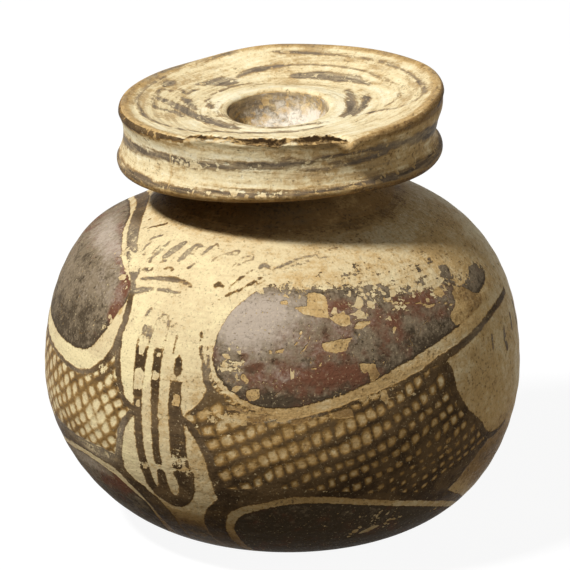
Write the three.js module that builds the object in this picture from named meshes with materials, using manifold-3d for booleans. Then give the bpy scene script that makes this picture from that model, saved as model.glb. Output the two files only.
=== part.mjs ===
// A globular aryballos, a small wheel-thrown oil flask of fired clay, as the pieces that a potter luted together:
// a hollow round body, a short neck, a wide mouth disc, a strap handle, and the clay smeared round each joint.
// Millimetres, +Z up. The origin is on the table under the middle of the body. The painted front faces -Y and
// the handle stands at +Y.
import * as THREE from "three";
import { mergeVertices } from "three/addons/utils/BufferGeometryUtils.js";
import Module from "manifold-3d";

const wasm = await Module();
wasm.setup();

// Body: outside
const BODY_DIAMETER = 70;
const BELLY_HEIGHT = 23.3;
const SHOULDER_HEIGHT = 50.2;
const SHOULDER_SLOPE = THREE.MathUtils.degToRad(22);
const BASE_RING_DIAMETER = 22.5;
const BASE_DIMPLE_DIAMETER = 15;
const BASE_DIMPLE_DEPTH = 0.9;

// Body: inside
const BODY_WALL = 3.4;
const BODY_FLOOR = 4.2;
const SHOULDER_WALL = 4;
const SHOULDER_HOLE_DIAMETER = 12;

// Neck
const BORE_DIAMETER = 9;
const NECK_HEIGHT = 5;
const NECK_FOOT_DIAMETER = 24;
const NECK_WAIST_DIAMETER = 20.8;
const NECK_TOP_DIAMETER = 22.6;

// Mouth disc
const DISC_DIAMETER = 47.4;
const LIP_DIAMETER = 46.9;
const RIM_WAIST_DIAMETER = 45.4;
const RIM_HEIGHT = 9.5;
const RIM_FOOT_ROUND = 1.6;
const LIP_ROUND = 0.9;
const UNDERSIDE_DROP = 0.9;
const DISH_DEPTH = 2.1;
const MOUTH_DIAMETER = 16.8;
const MOUTH_ROUND = 0.7;
const FUNNEL_DEPTH = 4.8;

// The disc was set a little crooked: its low side lies this many degrees round from +X, counter-clockwise.
const DISC_LEAN = THREE.MathUtils.degToRad(2.6);
const DISC_LEAN_TOWARDS = THREE.MathUtils.degToRad(207);

// Strap handle: it laps up the side of the disc's rim, bows outwards and comes down on the shoulder
const STRAP_WIDTH = 12;
const STRAP_THICKNESS = 3.4;
const STRAP_EDGE_ROUND = 1.5;
const STRAP_FLARE = 0.1;
const STRAP_BOW = 1.5;
const HANDLE_LAP = 4.6;
const HANDLE_INSET = 0.2;
const HANDLE_FOOT_RADIUS = 26.6;

// Joints: the film of slip between two luted pieces, and the clay smeared round them
const SLIP_FILM = 0.3;
const NECK_COIL_WIDTH = 3;
const NECK_COIL_HEIGHT = 2;
const DISC_COIL_WIDTH = 2.4;
const DISC_COIL_HEIGHT = 1.5;
const SMEAR_WIDTH = 1.9;
const SMEAR_HEIGHT = 2;

// Facets: how far a chord may leave its curve, and the steps round and along each form
const CHORD_ERROR = 0.06;
const BODY_SEGMENTS = 56;
const NECK_SEGMENTS = 40;
const STRAP_STEPS = 10;
const STRAP_EDGE_STEPS = 3;
const SMEAR_SEGMENTS = 24;

// Sizes that follow from the ones above
const bodyRadius = BODY_DIAMETER / 2;
const boreRadius = BORE_DIAMETER / 2;
const seatRadius = NECK_FOOT_DIAMETER / 2 + SLIP_FILM + NECK_COIL_WIDTH;
const neckFoot = SHOULDER_HEIGHT + SLIP_FILM;
const neckTop = neckFoot + NECK_HEIGHT;
const discSeat = neckTop + SLIP_FILM;
const discSeatRadius = NECK_TOP_DIAMETER / 2 + SLIP_FILM + DISC_COIL_WIDTH;
const rimFoot = discSeat - UNDERSIDE_DROP;
const lipTop = rimFoot + RIM_HEIGHT;
const mouthTop = lipTop - DISH_DEPTH;
const handleTop = rimFoot + HANDLE_LAP;

// Fullness of the thrown curves, as shares of the spans that they cross
const BASE_FULLNESS = 0.757;
const BELLY_FULLNESS = 0.324;
const SHOULDER_FULLNESS = 0.846;
const SHOULDER_RUN = 5.4;
const CAVITY_FULLNESS = 0.6;

// The control radius of a quadratic curve that passes through the waist half way between two ends.
function waistControl(waistRadius, radiusA, radiusB) {
  return 2 * waistRadius - (radiusA + radiusB) / 2;
}

// The body's outside, from the middle of the base to the flat seat of the neck. Points are (radius, height).
function bodyOutside() {
  const baseRadius = BASE_RING_DIAMETER / 2;
  const dimpleRadius = BASE_DIMPLE_DIAMETER / 2;
  const shoulderSpan = SHOULDER_HEIGHT - BELLY_HEIGHT;
  return new THREE.Path()
    .moveTo(0, BASE_DIMPLE_DEPTH)
    .quadraticCurveTo(dimpleRadius / 2, BASE_DIMPLE_DEPTH, dimpleRadius, 0)
    .lineTo(baseRadius, 0)
    .bezierCurveTo(
      baseRadius + BASE_FULLNESS * (bodyRadius - baseRadius),
      0,
      bodyRadius,
      BELLY_HEIGHT * (1 - BELLY_FULLNESS),
      bodyRadius,
      BELLY_HEIGHT,
    )
    .bezierCurveTo(
      bodyRadius,
      BELLY_HEIGHT + SHOULDER_FULLNESS * shoulderSpan,
      seatRadius + SHOULDER_RUN * Math.cos(SHOULDER_SLOPE),
      SHOULDER_HEIGHT - SHOULDER_RUN * Math.sin(SHOULDER_SLOPE),
      seatRadius,
      SHOULDER_HEIGHT,
    );
}

// The hollow body: the outside, the hole in the shoulder and the cavity, down to the middle of the floor.
function bodyProfile() {
  const holeRadius = SHOULDER_HOLE_DIAMETER / 2;
  const cavityRadius = bodyRadius - BODY_WALL;
  const cavityTop = SHOULDER_HEIGHT - SHOULDER_WALL;
  return bodyOutside()
    .lineTo(holeRadius, SHOULDER_HEIGHT)
    .lineTo(holeRadius, cavityTop)
    .bezierCurveTo(
      holeRadius + CAVITY_FULLNESS * (cavityRadius - holeRadius),
      cavityTop,
      cavityRadius,
      BELLY_HEIGHT + CAVITY_FULLNESS * (cavityTop - BELLY_HEIGHT),
      cavityRadius,
      BELLY_HEIGHT,
    )
    .bezierCurveTo(
      cavityRadius,
      BELLY_HEIGHT - CAVITY_FULLNESS * (BELLY_HEIGHT - BODY_FLOOR),
      CAVITY_FULLNESS * cavityRadius,
      BODY_FLOOR,
      0,
      BODY_FLOOR,
    );
}

function neckProfile() {
  const footRadius = NECK_FOOT_DIAMETER / 2;
  const topRadius = NECK_TOP_DIAMETER / 2;
  const control = waistControl(NECK_WAIST_DIAMETER / 2, footRadius, topRadius);
  return new THREE.Path()
    .moveTo(boreRadius, neckFoot)
    .lineTo(footRadius, neckFoot)
    .quadraticCurveTo(control, (neckFoot + neckTop) / 2, topRadius, neckTop)
    .lineTo(boreRadius, neckTop)
    .lineTo(boreRadius, neckFoot);
}

// The disc's underside and hollowed rim, from its seat on the neck out to the lip.
function discOutside(path) {
  const discRadius = DISC_DIAMETER / 2;
  const lipRadius = LIP_DIAMETER / 2;
  const rimLow = rimFoot + RIM_FOOT_ROUND;
  const rimHigh = lipTop - LIP_ROUND;
  const control = waistControl(RIM_WAIST_DIAMETER / 2, discRadius, lipRadius);
  return path
    .lineTo(discSeatRadius, discSeat)
    .quadraticCurveTo((discSeatRadius + discRadius) / 2, rimFoot, discRadius - RIM_FOOT_ROUND, rimFoot)
    .quadraticCurveTo(discRadius, rimFoot, discRadius, rimLow)
    .quadraticCurveTo(control, (rimLow + rimHigh) / 2, lipRadius, rimHigh)
    .quadraticCurveTo(lipRadius, lipTop, lipRadius - LIP_ROUND, lipTop);
}

// The whole disc: underside, rim, dished top and the bowl-shaped funnel that runs into the bore.
function discProfile() {
  const mouthRadius = MOUTH_DIAMETER / 2;
  const funnelTop = mouthTop - MOUTH_ROUND;
  const funnelFoot = mouthTop - FUNNEL_DEPTH;
  const dishEdge = LIP_DIAMETER / 2 - LIP_ROUND;
  return discOutside(new THREE.Path().moveTo(boreRadius, discSeat))
    .quadraticCurveTo((dishEdge + mouthRadius) / 2, mouthTop, mouthRadius + MOUTH_ROUND, mouthTop)
    .quadraticCurveTo(mouthRadius, mouthTop, mouthRadius, funnelTop)
    .quadraticCurveTo(mouthRadius, funnelFoot, boreRadius, funnelFoot)
    .lineTo(boreRadius, discSeat);
}

// A hollow-cheeked fillet of clay standing on a flat seat at height foot, or hanging from it if height is negative.
function coilProfile(innerRadius, width, foot, height) {
  const outerRadius = innerRadius + width;
  return new THREE.Path()
    .moveTo(innerRadius, foot)
    .lineTo(outerRadius, foot)
    .quadraticCurveTo(innerRadius + width / 4, foot + height / 4, innerRadius, foot + height)
    .lineTo(innerRadius, foot);
}

// The points of a profile, with more steps where a curve is long or turns far.
function outline(path) {
  const points = [path.curves[0].getPoint(0)];
  for (const curve of path.curves) {
    const turn = curve.getTangent(0).angleTo(curve.getTangent(1));
    const steps = Math.ceil(Math.sqrt((turn * curve.getLength()) / (8 * CHORD_ERROR)));
    points.push(...curve.getPoints(Math.max(steps, 1)).slice(1));
  }
  return points;
}

// A profile turned about +Z.
function revolve(points, segments) {
  return new THREE.LatheGeometry(points, segments).rotateX(Math.PI / 2);
}

// The profile pushed outwards along its normals, then closed to the axis, as a solid that clears the piece.
function clearanceSolid(path, by, top) {
  const points = outline(path);
  const grown = points.map((point, i) => {
    const before = points[Math.max(i - 1, 0)];
    const after = points[Math.min(i + 1, points.length - 1)];
    const along = after.clone().sub(before).normalize();
    const radius = Math.max(point.x + along.y * by, 0);
    return new THREE.Vector2(point.x === 0 ? 0 : radius, point.y - along.x * by);
  });
  grown.push(new THREE.Vector2(0, top));
  if (grown[0].x > 0) grown.unshift(new THREE.Vector2(0, grown[0].y));
  return revolve(grown, BODY_SEGMENTS);
}

// Tips what stands on the shoulder: none at the neck's foot, growing to the full lean at the neck's top.
function lean(geometry) {
  const place = geometry.getAttribute("position");
  for (let i = 0; i < place.count; i++) {
    const towards = place.getX(i) * Math.cos(DISC_LEAN_TOWARDS) + place.getY(i) * Math.sin(DISC_LEAN_TOWARDS);
    const share = THREE.MathUtils.clamp((place.getZ(i) - neckFoot) / NECK_HEIGHT, 0, 1);
    place.setZ(i, place.getZ(i) - share * Math.tan(DISC_LEAN) * towards);
  }
  geometry.computeVertexNormals();
  return geometry;
}

// The height of the shoulder, and the angle that its outward normal makes with +Z, at a radius above the belly.
function shoulderAt(radius) {
  const shoulder = bodyOutside().curves.at(-1);
  let [outer, inner] = [0, 1];
  for (let halving = 0; halving < 30; halving++) {
    const middle = (outer + inner) / 2;
    if (shoulder.getPoint(middle).x > radius) outer = middle;
    else inner = middle;
  }
  const along = shoulder.getTangent(outer);
  return { height: shoulder.getPoint(outer).y, normal: Math.atan2(along.y, -along.x) };
}

// A closed geometry as a solid for cutting, and back again.
function solid(geometry) {
  const bare = geometry.clone();
  bare.deleteAttribute("normal");
  bare.deleteAttribute("uv");
  const merged = mergeVertices(bare, 1e-4);
  return new wasm.Manifold(
    new wasm.Mesh({
      numProp: 3,
      vertProperties: merged.getAttribute("position").array,
      triVerts: new Uint32Array(merged.index.array),
    }),
  );
}

function geometryOf(manifold) {
  const mesh = manifold.getMesh();
  const geometry = new THREE.BufferGeometry();
  geometry.setAttribute("position", new THREE.BufferAttribute(mesh.vertProperties, 3));
  geometry.setIndex(new THREE.BufferAttribute(mesh.triVerts, 1));
  geometry.computeVertexNormals();
  return geometry;
}

// The strap's cross-section, a ribbon with rounded edges, grown all round where a clearance is cut.
function strapSection(by) {
  const halfWidth = STRAP_WIDTH / 2 + by;
  const halfThickness = STRAP_THICKNESS / 2 + by;
  const round = STRAP_EDGE_ROUND + by;
  const section = new THREE.Shape();
  section.absarc(halfWidth - round, halfThickness - round, round, 0, Math.PI / 2);
  section.absarc(round - halfWidth, halfThickness - round, round, Math.PI / 2, Math.PI);
  section.absarc(round - halfWidth, round - halfThickness, round, Math.PI, 1.5 * Math.PI);
  section.absarc(halfWidth - round, round - halfThickness, round, 1.5 * Math.PI, 2 * Math.PI);
  section.closePath();
  return section;
}

// The strap before it is trimmed: it starts half sunk in the rim, bows outwards and ends inside the shoulder.
function strap(by) {
  const foot = shoulderAt(HANDLE_FOOT_RADIUS);
  const top = new THREE.Vector3(0, DISC_DIAMETER / 2 - HANDLE_INSET, handleTop + by);
  const end = new THREE.Vector3(0, HANDLE_FOOT_RADIUS, foot.height - STRAP_THICKNESS / 2);
  const reach = (top.z - end.z) / 3;
  const path = new THREE.CubicBezierCurve3(
    top,
    new THREE.Vector3(0, top.y + STRAP_BOW, top.z - reach),
    new THREE.Vector3(0, end.y + STRAP_BOW, end.z + reach),
    end,
  );
  const geometry = new THREE.ExtrudeGeometry(strapSection(by), {
    steps: STRAP_STEPS,
    curveSegments: STRAP_EDGE_STEPS,
    extrudePath: path,
  });
  const place = geometry.getAttribute("position");
  for (let i = 0; i < place.count; i++) {
    const fromMiddle = ((place.getZ(i) - end.z) / (top.z - end.z)) * 2 - 1;
    place.setX(i, place.getX(i) * (1 + STRAP_FLARE * fromMiddle * fromMiddle));
  }
  return lean(geometry);
}

// A mound of smeared clay centred where the strap meets a surface, tipped to that surface.
function mound(radius, height, tip) {
  const halfWidth = (STRAP_WIDTH / 2) * (1 + STRAP_FLARE) + SMEAR_WIDTH;
  const halfDepth = STRAP_THICKNESS / 2 + SMEAR_WIDTH;
  const geometry = new THREE.SphereGeometry(1, SMEAR_SEGMENTS, SMEAR_SEGMENTS / 2)
    .rotateX(Math.PI / 2)
    .scale(halfWidth, halfDepth, SMEAR_HEIGHT)
    .rotateX(-tip)
    .translate(0, radius, height);
  return lean(geometry);
}

// Colours of the fired clay, its painted body and the bare clay of the joints
const CLAY = new THREE.MeshStandardMaterial({ color: 0xc9b182, roughness: 0.62, metalness: 0 });
const PAINTED_CLAY = new THREE.MeshStandardMaterial({ color: 0x8a6f4c, roughness: 0.5, metalness: 0 });
const JOINT_CLAY = new THREE.MeshStandardMaterial({ color: 0xb99f72, roughness: 0.7, metalness: 0 });

const aryballos = new THREE.Group();

function addPiece(name, geometry, material) {
  const piece = new THREE.Mesh(geometry, material);
  piece.name = name;
  aryballos.add(piece);
}

// The thrown pieces
addPiece("body", revolve(outline(bodyProfile()), BODY_SEGMENTS), PAINTED_CLAY);
addPiece("neck", lean(revolve(outline(neckProfile()), NECK_SEGMENTS)), CLAY);
addPiece("mouth_disc", lean(revolve(outline(discProfile()), BODY_SEGMENTS)), CLAY);

// The coils of clay smeared round the neck's foot and top
const neckCoil = coilProfile(NECK_FOOT_DIAMETER / 2 + SLIP_FILM, NECK_COIL_WIDTH, neckFoot, NECK_COIL_HEIGHT);
addPiece("neck_foot_luting", lean(revolve(outline(neckCoil), NECK_SEGMENTS)), JOINT_CLAY);
const discCoil = coilProfile(NECK_TOP_DIAMETER / 2 + SLIP_FILM, DISC_COIL_WIDTH, neckTop, -DISC_COIL_HEIGHT);
addPiece("neck_top_luting", lean(revolve(outline(discCoil).reverse(), NECK_SEGMENTS)), JOINT_CLAY);

// The handle, trimmed to lie a film of slip away from the shoulder and the rim, and the clay smeared round its ends
const bodyClearance = solid(clearanceSolid(bodyOutside(), SLIP_FILM, SHOULDER_HEIGHT + SLIP_FILM));
const discPath = discOutside(new THREE.Path().moveTo(boreRadius, discSeat));
const discClearance = solid(lean(clearanceSolid(discPath, SLIP_FILM, lipTop + SLIP_FILM)));
const trimmed = solid(strap(0)).subtract(bodyClearance).subtract(discClearance);
addPiece("strap_handle", geometryOf(trimmed), CLAY);

const strapClearance = solid(strap(SLIP_FILM));
const footSeat = shoulderAt(HANDLE_FOOT_RADIUS);
const footMound = solid(mound(HANDLE_FOOT_RADIUS, footSeat.height, footSeat.normal));
addPiece(
  "handle_foot_luting",
  geometryOf(footMound.subtract(bodyClearance).subtract(strapClearance)),
  JOINT_CLAY,
);
const topMound = solid(mound(RIM_WAIST_DIAMETER / 2, handleTop, Math.PI / 2));
addPiece(
  "handle_top_luting",
  geometryOf(topMound.subtract(discClearance).subtract(strapClearance)),
  JOINT_CLAY,
);

export default aryballos;
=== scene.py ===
# A small round-bodied oil flask of fired clay, with a hand-painted leaf ornament worn by long burial.
# Forms are worked out in millimetres in the frame's axes and become metres when a mesh is made.
import math

import bpy
import numpy as np
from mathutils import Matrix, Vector


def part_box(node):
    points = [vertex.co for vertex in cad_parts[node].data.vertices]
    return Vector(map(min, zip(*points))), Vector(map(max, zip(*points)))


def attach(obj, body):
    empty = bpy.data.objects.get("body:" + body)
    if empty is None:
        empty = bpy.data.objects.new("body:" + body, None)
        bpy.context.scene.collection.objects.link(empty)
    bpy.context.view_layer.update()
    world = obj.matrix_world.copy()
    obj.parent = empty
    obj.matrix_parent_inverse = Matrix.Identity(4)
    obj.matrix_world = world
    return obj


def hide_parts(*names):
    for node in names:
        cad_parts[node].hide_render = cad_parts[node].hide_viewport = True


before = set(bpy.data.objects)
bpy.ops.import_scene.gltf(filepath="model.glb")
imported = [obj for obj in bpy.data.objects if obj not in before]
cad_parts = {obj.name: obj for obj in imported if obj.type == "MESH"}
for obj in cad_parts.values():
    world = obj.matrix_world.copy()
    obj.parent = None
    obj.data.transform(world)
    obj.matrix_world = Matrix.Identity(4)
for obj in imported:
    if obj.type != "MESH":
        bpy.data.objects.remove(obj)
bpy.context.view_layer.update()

MM = 0.001
FAR = 3.0
rng = np.random.default_rng(8)


def highest_corner(node):
    """Highest corner of a CAD node in millimetres."""
    _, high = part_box(node)
    return np.array(high) / MM


# Body: sizes as in the frame
body_high = highest_corner("body")
BODY_RADIUS = body_high[0]
SHOULDER_HEIGHT = body_high[2]
BELLY_HEIGHT = 23.3
BASE_RADIUS = 11.25
DIMPLE_RADIUS = 7.5
DIMPLE_DEPTH = 0.9
BASE_FULLNESS = 0.757
BELLY_FULLNESS = 0.324
SHOULDER_FULLNESS = 0.846
SHOULDER_RUN = 5.4
SHOULDER_SLOPE = math.radians(22)
SEAT_RADIUS = 15.3
HOLE_RADIUS = 6.0
WALL_THICKNESS = 3.4
SHOULDER_THICKNESS = 4.0
CAVITY_RADIUS = BODY_RADIUS - WALL_THICKNESS
CAVITY_TOP = SHOULDER_HEIGHT - SHOULDER_THICKNESS
CAVITY_FLOOR = 4.2
CAVITY_FULLNESS = 0.6

# Neck, disc and strap: sizes as in the frame
SLIP_FILM = 0.3
NECK_FOOT = SHOULDER_HEIGHT + SLIP_FILM
NECK_HEIGHT = 5.0
NECK_TOP = NECK_FOOT + NECK_HEIGHT
NECK_FOOT_RADIUS = 12.0
NECK_WAIST_RADIUS = 10.4
NECK_TOP_RADIUS = 11.3
BORE_RADIUS = 4.5
DISC_SEAT = NECK_TOP + SLIP_FILM
DISC_SEAT_RADIUS = 14.0
DISC_RADIUS = 23.7
LIP_RADIUS = 23.45
RIM_WAIST_RADIUS = 22.7
RIM_DROP = 0.9
RIM_FOOT = DISC_SEAT - RIM_DROP
RIM_FOOT_ROUND = 1.6
DISC_HEIGHT = 9.5
LIP_TOP = RIM_FOOT + DISC_HEIGHT
LIP_ROUND = 0.9
DISH_DEPTH = 2.1
MOUTH_TOP = LIP_TOP - DISH_DEPTH
MOUTH_RADIUS = 8.4
MOUTH_ROUND = 0.7
FUNNEL_DEPTH = 4.8
FUNNEL_FOOT = MOUTH_TOP - FUNNEL_DEPTH
LEAN = math.radians(2.6)
LEAN_TOWARDS = math.radians(207)
STRAP_HALF_WIDTH = 6.0
STRAP_HALF_THICKNESS = 1.7
STRAP_FLARE = 0.1
STRAP_BOW = 1.5
STRAP_RISE = 4.6
STRAP_TOP = RIM_FOOT + STRAP_RISE
STRAP_FOOT_RADIUS = 26.6
SMEAR = 1.9

# The photograph's view: the camera's place round and above the flask, and its framing
VIEW_AZIMUTH = math.radians(27)
VIEW_ELEVATION = math.radians(19.5)
VIEW_DISTANCE = 0.7
VIEW_AIM = Vector((0, 0, 0.033))
VIEW_LENS = 302.3
VIEW_SHIFT = (0.0035, 0.0268)
VIEW_RIGHT = np.array([math.cos(VIEW_AZIMUTH), math.sin(VIEW_AZIMUTH)])


# Curves and outlines, as rows of (radius, height)
def bezier(*controls, steps=60):
    share = np.linspace(0, 1, steps + 1)[:, None]
    points = [np.tile(control, (steps + 1, 1)) for control in np.array(controls, float)]
    while len(points) > 1:
        points = [start + (end - start) * share for start, end in zip(points, points[1:])]
    return points[0]


def chain(*pieces):
    """Pieces of outline end to end, without the doubled points."""
    return np.concatenate([pieces[0]] + [piece[1:] for piece in pieces[1:]])


def run_lengths(points):
    steps = np.linalg.norm(np.diff(points, axis=0), axis=1)
    return np.concatenate([[0], np.cumsum(steps)])


def spaced(points, spacing):
    """The same outline with its points at even steps."""
    lengths = run_lengths(points)
    count = max(int(round(lengths[-1] / spacing)), 1)
    marks = np.linspace(0, lengths[-1], count + 1)
    return np.stack([np.interp(marks, lengths, column) for column in points.T], axis=1)


def waist_control(waist, radius_a, radius_b):
    """The control radius of a quadratic curve that passes through the waist half way between two ends."""
    return 2 * waist - (radius_a + radius_b) / 2


def flowing(points, steps=5, closed=False):
    """A smooth curve through given points."""
    points = np.array(points, float)
    if closed:
        padded = np.concatenate([points[-1:], points, points[:2]])
    else:
        padded = np.concatenate([2 * points[:1] - points[1:2], points, 2 * points[-1:] - points[-2:-1]])
    t = np.linspace(0, 1, steps, endpoint=False)[:, None]
    pieces = []
    for a, b, c, d in zip(padded, padded[1:], padded[2:], padded[3:]):
        bend = 2 * a - 5 * b + 4 * c - d
        twist = 3 * b - a - 3 * c + d
        pieces.append(b + t / 2 * (c - a + t * (bend + t * twist)))
    pieces.append(padded[-2:-1])
    return np.concatenate(pieces)


def smooth_step(value, low, high):
    share = np.clip((value - low) / (high - low), 0, 1)
    return share * share * (3 - 2 * share)


def fading(value, low, high):
    return 1 - smooth_step(value, low, high)


def between(value, low, full, falling, high):
    """1 from full to falling, easing to 0 at low and high."""
    return smooth_step(value, low, full) * fading(value, falling, high)


def hump(value, centre, width):
    """A soft rise to 1 at a centre."""
    return np.exp(-(((value - centre) / width) ** 2))


def wrapped(degrees):
    return (degrees + 180) % 360 - 180


def ripple(degrees, periods, size):
    """A ragged line round the pot: waves of seeded phase, each a whole number of periods to the turn."""
    total = np.zeros_like(degrees, dtype=float)
    for count in periods:
        total += np.sin(np.radians(count * degrees) + rng.uniform(0, 2 * math.pi)) * rng.uniform(0.5, 1)
    return total * size / len(periods)


# Meshes
def turned(radius, height, azimuth):
    """Points of a profile turned round the axis. Azimuth is in degrees from the front, to the right."""
    angle = np.radians(azimuth)[None, :]
    x = radius[:, None] * np.sin(angle)
    y = -radius[:, None] * np.cos(angle)
    z = np.repeat(height[:, None], len(azimuth), axis=1)
    return np.stack([x, y, z], axis=2)


def ring_faces(rows, columns, closed):
    """Quads of a grid of rows that runs right round, closed along its rows too if the profile is a loop."""
    last = rows if closed else rows - 1
    row = np.arange(last)[:, None]
    column = np.arange(columns)[None, :]
    right = (column + 1) % columns
    above = (row + 1) % rows
    low = row * columns
    high = above * columns
    corners = [low + column, low + right, high + right, high + column]
    return np.stack(np.broadcast_arrays(*corners), axis=2).reshape(-1, 4).tolist()


def fan_faces(start, columns, tip, downwards):
    """Triangles from a ring of points to a tip."""
    ring = [start + column for column in range(columns)]
    pairs = zip(ring, ring[1:] + ring[:1])
    return [(b, a, tip) if downwards else (a, b, tip) for a, b in pairs]


def new_piece(name, points, faces, material, slot, *nodes):
    """A smooth-shaded mesh in metres that rides on the body and stands for CAD nodes."""
    mesh = bpy.data.meshes.new(name)
    mesh.from_pydata((np.asarray(points).reshape(-1, 3) * MM).tolist(), [], faces)
    mesh.polygons.foreach_set("use_smooth", np.ones(len(mesh.polygons), bool))
    mesh.materials.append(material)
    mesh.update()
    piece = bpy.data.objects.new(name, mesh)
    bpy.context.scene.collection.objects.link(piece)
    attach(piece, "root")
    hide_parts(*nodes)
    return piece


def store(piece, **fields):
    """Writes fields of numbers, one for each vertex, for the materials to read."""
    for name, values in fields.items():
        attribute = piece.data.attributes.new(name, "FLOAT", "POINT")
        attribute.data.foreach_set("value", np.asarray(values, np.float32).ravel())


def leant(points):
    """Tips what stands on the shoulder, from nothing at the neck's foot to the full lean at its top."""
    towards = points[..., 0] * math.cos(LEAN_TOWARDS) + points[..., 1] * math.sin(LEAN_TOWARDS)
    share = np.clip((points[..., 2] - NECK_FOOT) / NECK_HEIGHT, 0, 1)
    tipped = points.copy()
    tipped[..., 2] -= share * math.tan(LEAN) * towards
    return tipped


# Painting: fields over a wall that is unrolled into azimuth in degrees and length up the wall in millimetres
class Wall:
    def __init__(self, azimuth, length, radius):
        self.azimuth = azimuth
        self.length = length
        self.degree = np.radians(radius)
        self.shape = (len(length), len(azimuth))

    def near(self, curve):
        """The rows and columns that lie within reach of a curve."""
        low = curve.min(axis=0)
        high = curve.max(axis=0)
        rows = np.flatnonzero((self.length > low[1] - FAR) & (self.length < high[1] + FAR))
        side = FAR / self.degree[rows].min()
        columns = np.flatnonzero((self.azimuth > low[0] - side) & (self.azimuth < high[0] + side))
        return rows, columns

    def gap(self, curve):
        """Distance of each point of the wall from a curve of (azimuth, length, width), less half of it."""
        rows, columns = self.near(curve)
        across = self.degree[rows][:, None]
        best = np.full((len(rows), len(columns)), FAR)
        for start, end in zip(curve, curve[1:]):
            x = (start[0] - self.azimuth[columns])[None, :] * across
            y = (start[1] - self.length[rows])[:, None]
            dx = (end[0] - start[0]) * across
            dy = end[1] - start[1]
            along = np.clip(-(x * dx + y * dy) / (dx * dx + dy * dy + 1e-9), 0, 1)
            half = (start[2] + (end[2] - start[2]) * along) / 2
            np.minimum(best, np.hypot(x + along * dx, y + along * dy) - half, out=best)
        field = np.full(self.shape, FAR)
        field[np.ix_(rows, columns)] = best
        return field

    def stroke(self, points):
        """A brush stroke: how deep inside it each point lies, negative outside."""
        return -self.gap(flowing(points))

    def area(self, points, smooth=True):
        """A filled outline: how deep inside it each point lies, negative outside."""
        points = np.array(points, float)
        curve = flowing(points, closed=True) if smooth else np.concatenate([points, points[:1]])
        inside = np.zeros(self.shape, bool)
        for start, end in zip(curve, curve[1:]):
            rows = np.flatnonzero((start[1] > self.length) != (end[1] > self.length))
            if len(rows) == 0:
                continue
            share = (self.length[rows] - start[1]) / (end[1] - start[1])
            crossing = start[0] + share * (end[0] - start[0])
            inside[rows] ^= self.azimuth[None, :] < crossing[:, None]
        gap = self.gap(np.column_stack([curve, np.zeros(len(curve))]))
        return np.where(inside, gap, -gap)

    def spots(self, patches):
        """Soft patches of (azimuth, length, half width and half height in mm, strength), added up."""
        total = np.zeros(self.shape)
        for azimuth, length, wide, tall, strength in patches:
            x = wrapped(self.azimuth - azimuth)[None, :] * self.degree[:, None] / wide
            y = (self.length - length)[:, None] / tall
            total += strength * np.exp(-x * x - y * y)
        return total

    def union(self, fields):
        total = np.full(self.shape, -FAR)
        for field in fields:
            np.maximum(total, field, out=total)
        return total


# The ornament, as the painter set it out. Points are (azimuth in degrees, length up the wall in mm).
LEAF_UPPER_LEFT = [
    (-18.9, 55), (-19.5, 57), (-22, 58.2), (-25, 59), (-29, 60), (-34, 61.5), (-40, 63), (-46, 64.2),
    (-52, 65.4), (-60, 66.4), (-72, 66), (-84, 64.2), (-95, 60.8), (-105, 56.4), (-97, 52.8),
    (-86, 50.2), (-74, 47.8), (-60, 46.2), (-50, 45.8), (-45, 45.5), (-36, 45.4), (-31, 45.8),
    (-27, 46.8), (-24.4, 48.6), (-22.5, 50.2), (-20.6, 52.6),
]
LEAF_UPPER_RIGHT = [
    (10, 49), (9.9, 50.5), (10.3, 52.5), (11.5, 54.5), (13.5, 56.5), (16, 58), (19, 59.5), (22, 60.5),
    (27, 61.5), (33, 62.3), (40, 62.8), (46, 63.2), (52, 63.8), (60, 64.4), (70, 64.6), (80, 63.4),
    (90, 60.6), (98, 57.6), (101, 55.4), (97, 54), (90, 53.2), (85, 52.2), (80, 51), (75, 50.3), (70, 49.7),
    (65, 49), (60, 48.2), (55, 47.3), (50, 46.3), (45, 45.4), (40, 44.5), (35, 43.8), (30, 43.2), (25, 43),
    (20.5, 43.4), (16.5, 44.5), (13.5, 45.8), (11.2, 47.2),
]
LEAF_LOWER_RIGHT = [
    (13.3, 17), (12.7, 20), (13.2, 22.3), (15, 24.3), (17.5, 25.4), (22, 26.5), (26, 27.3), (30, 27.7),
    (35, 27.7), (40, 27.3), (45, 26.7), (50, 26), (55, 25.2), (60, 24.4), (70, 22.3), (80, 19.8), (90, 17),
    (101, 13.5), (92, 10.5), (80, 8.2), (65, 6.3), (50, 5.2), (35, 5.4), (22, 7.5), (15.5, 12),
]
LEAF_LOWER_LEFT = [
    (-11.8, 23.4), (-13, 24.6), (-15, 25.7), (-17, 26.9), (-19.2, 27.9), (-22.8, 28.7), (-26.5, 29.3),
    (-32.5, 29.5), (-38.5, 29), (-46, 28.2), (-58, 26), (-72, 22.8), (-86, 19), (-109, 13.5), (-96, 10),
    (-80, 7.6), (-60, 5.4), (-43, 5.4), (-28, 8), (-18, 13), (-12.5, 18),
]

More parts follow.
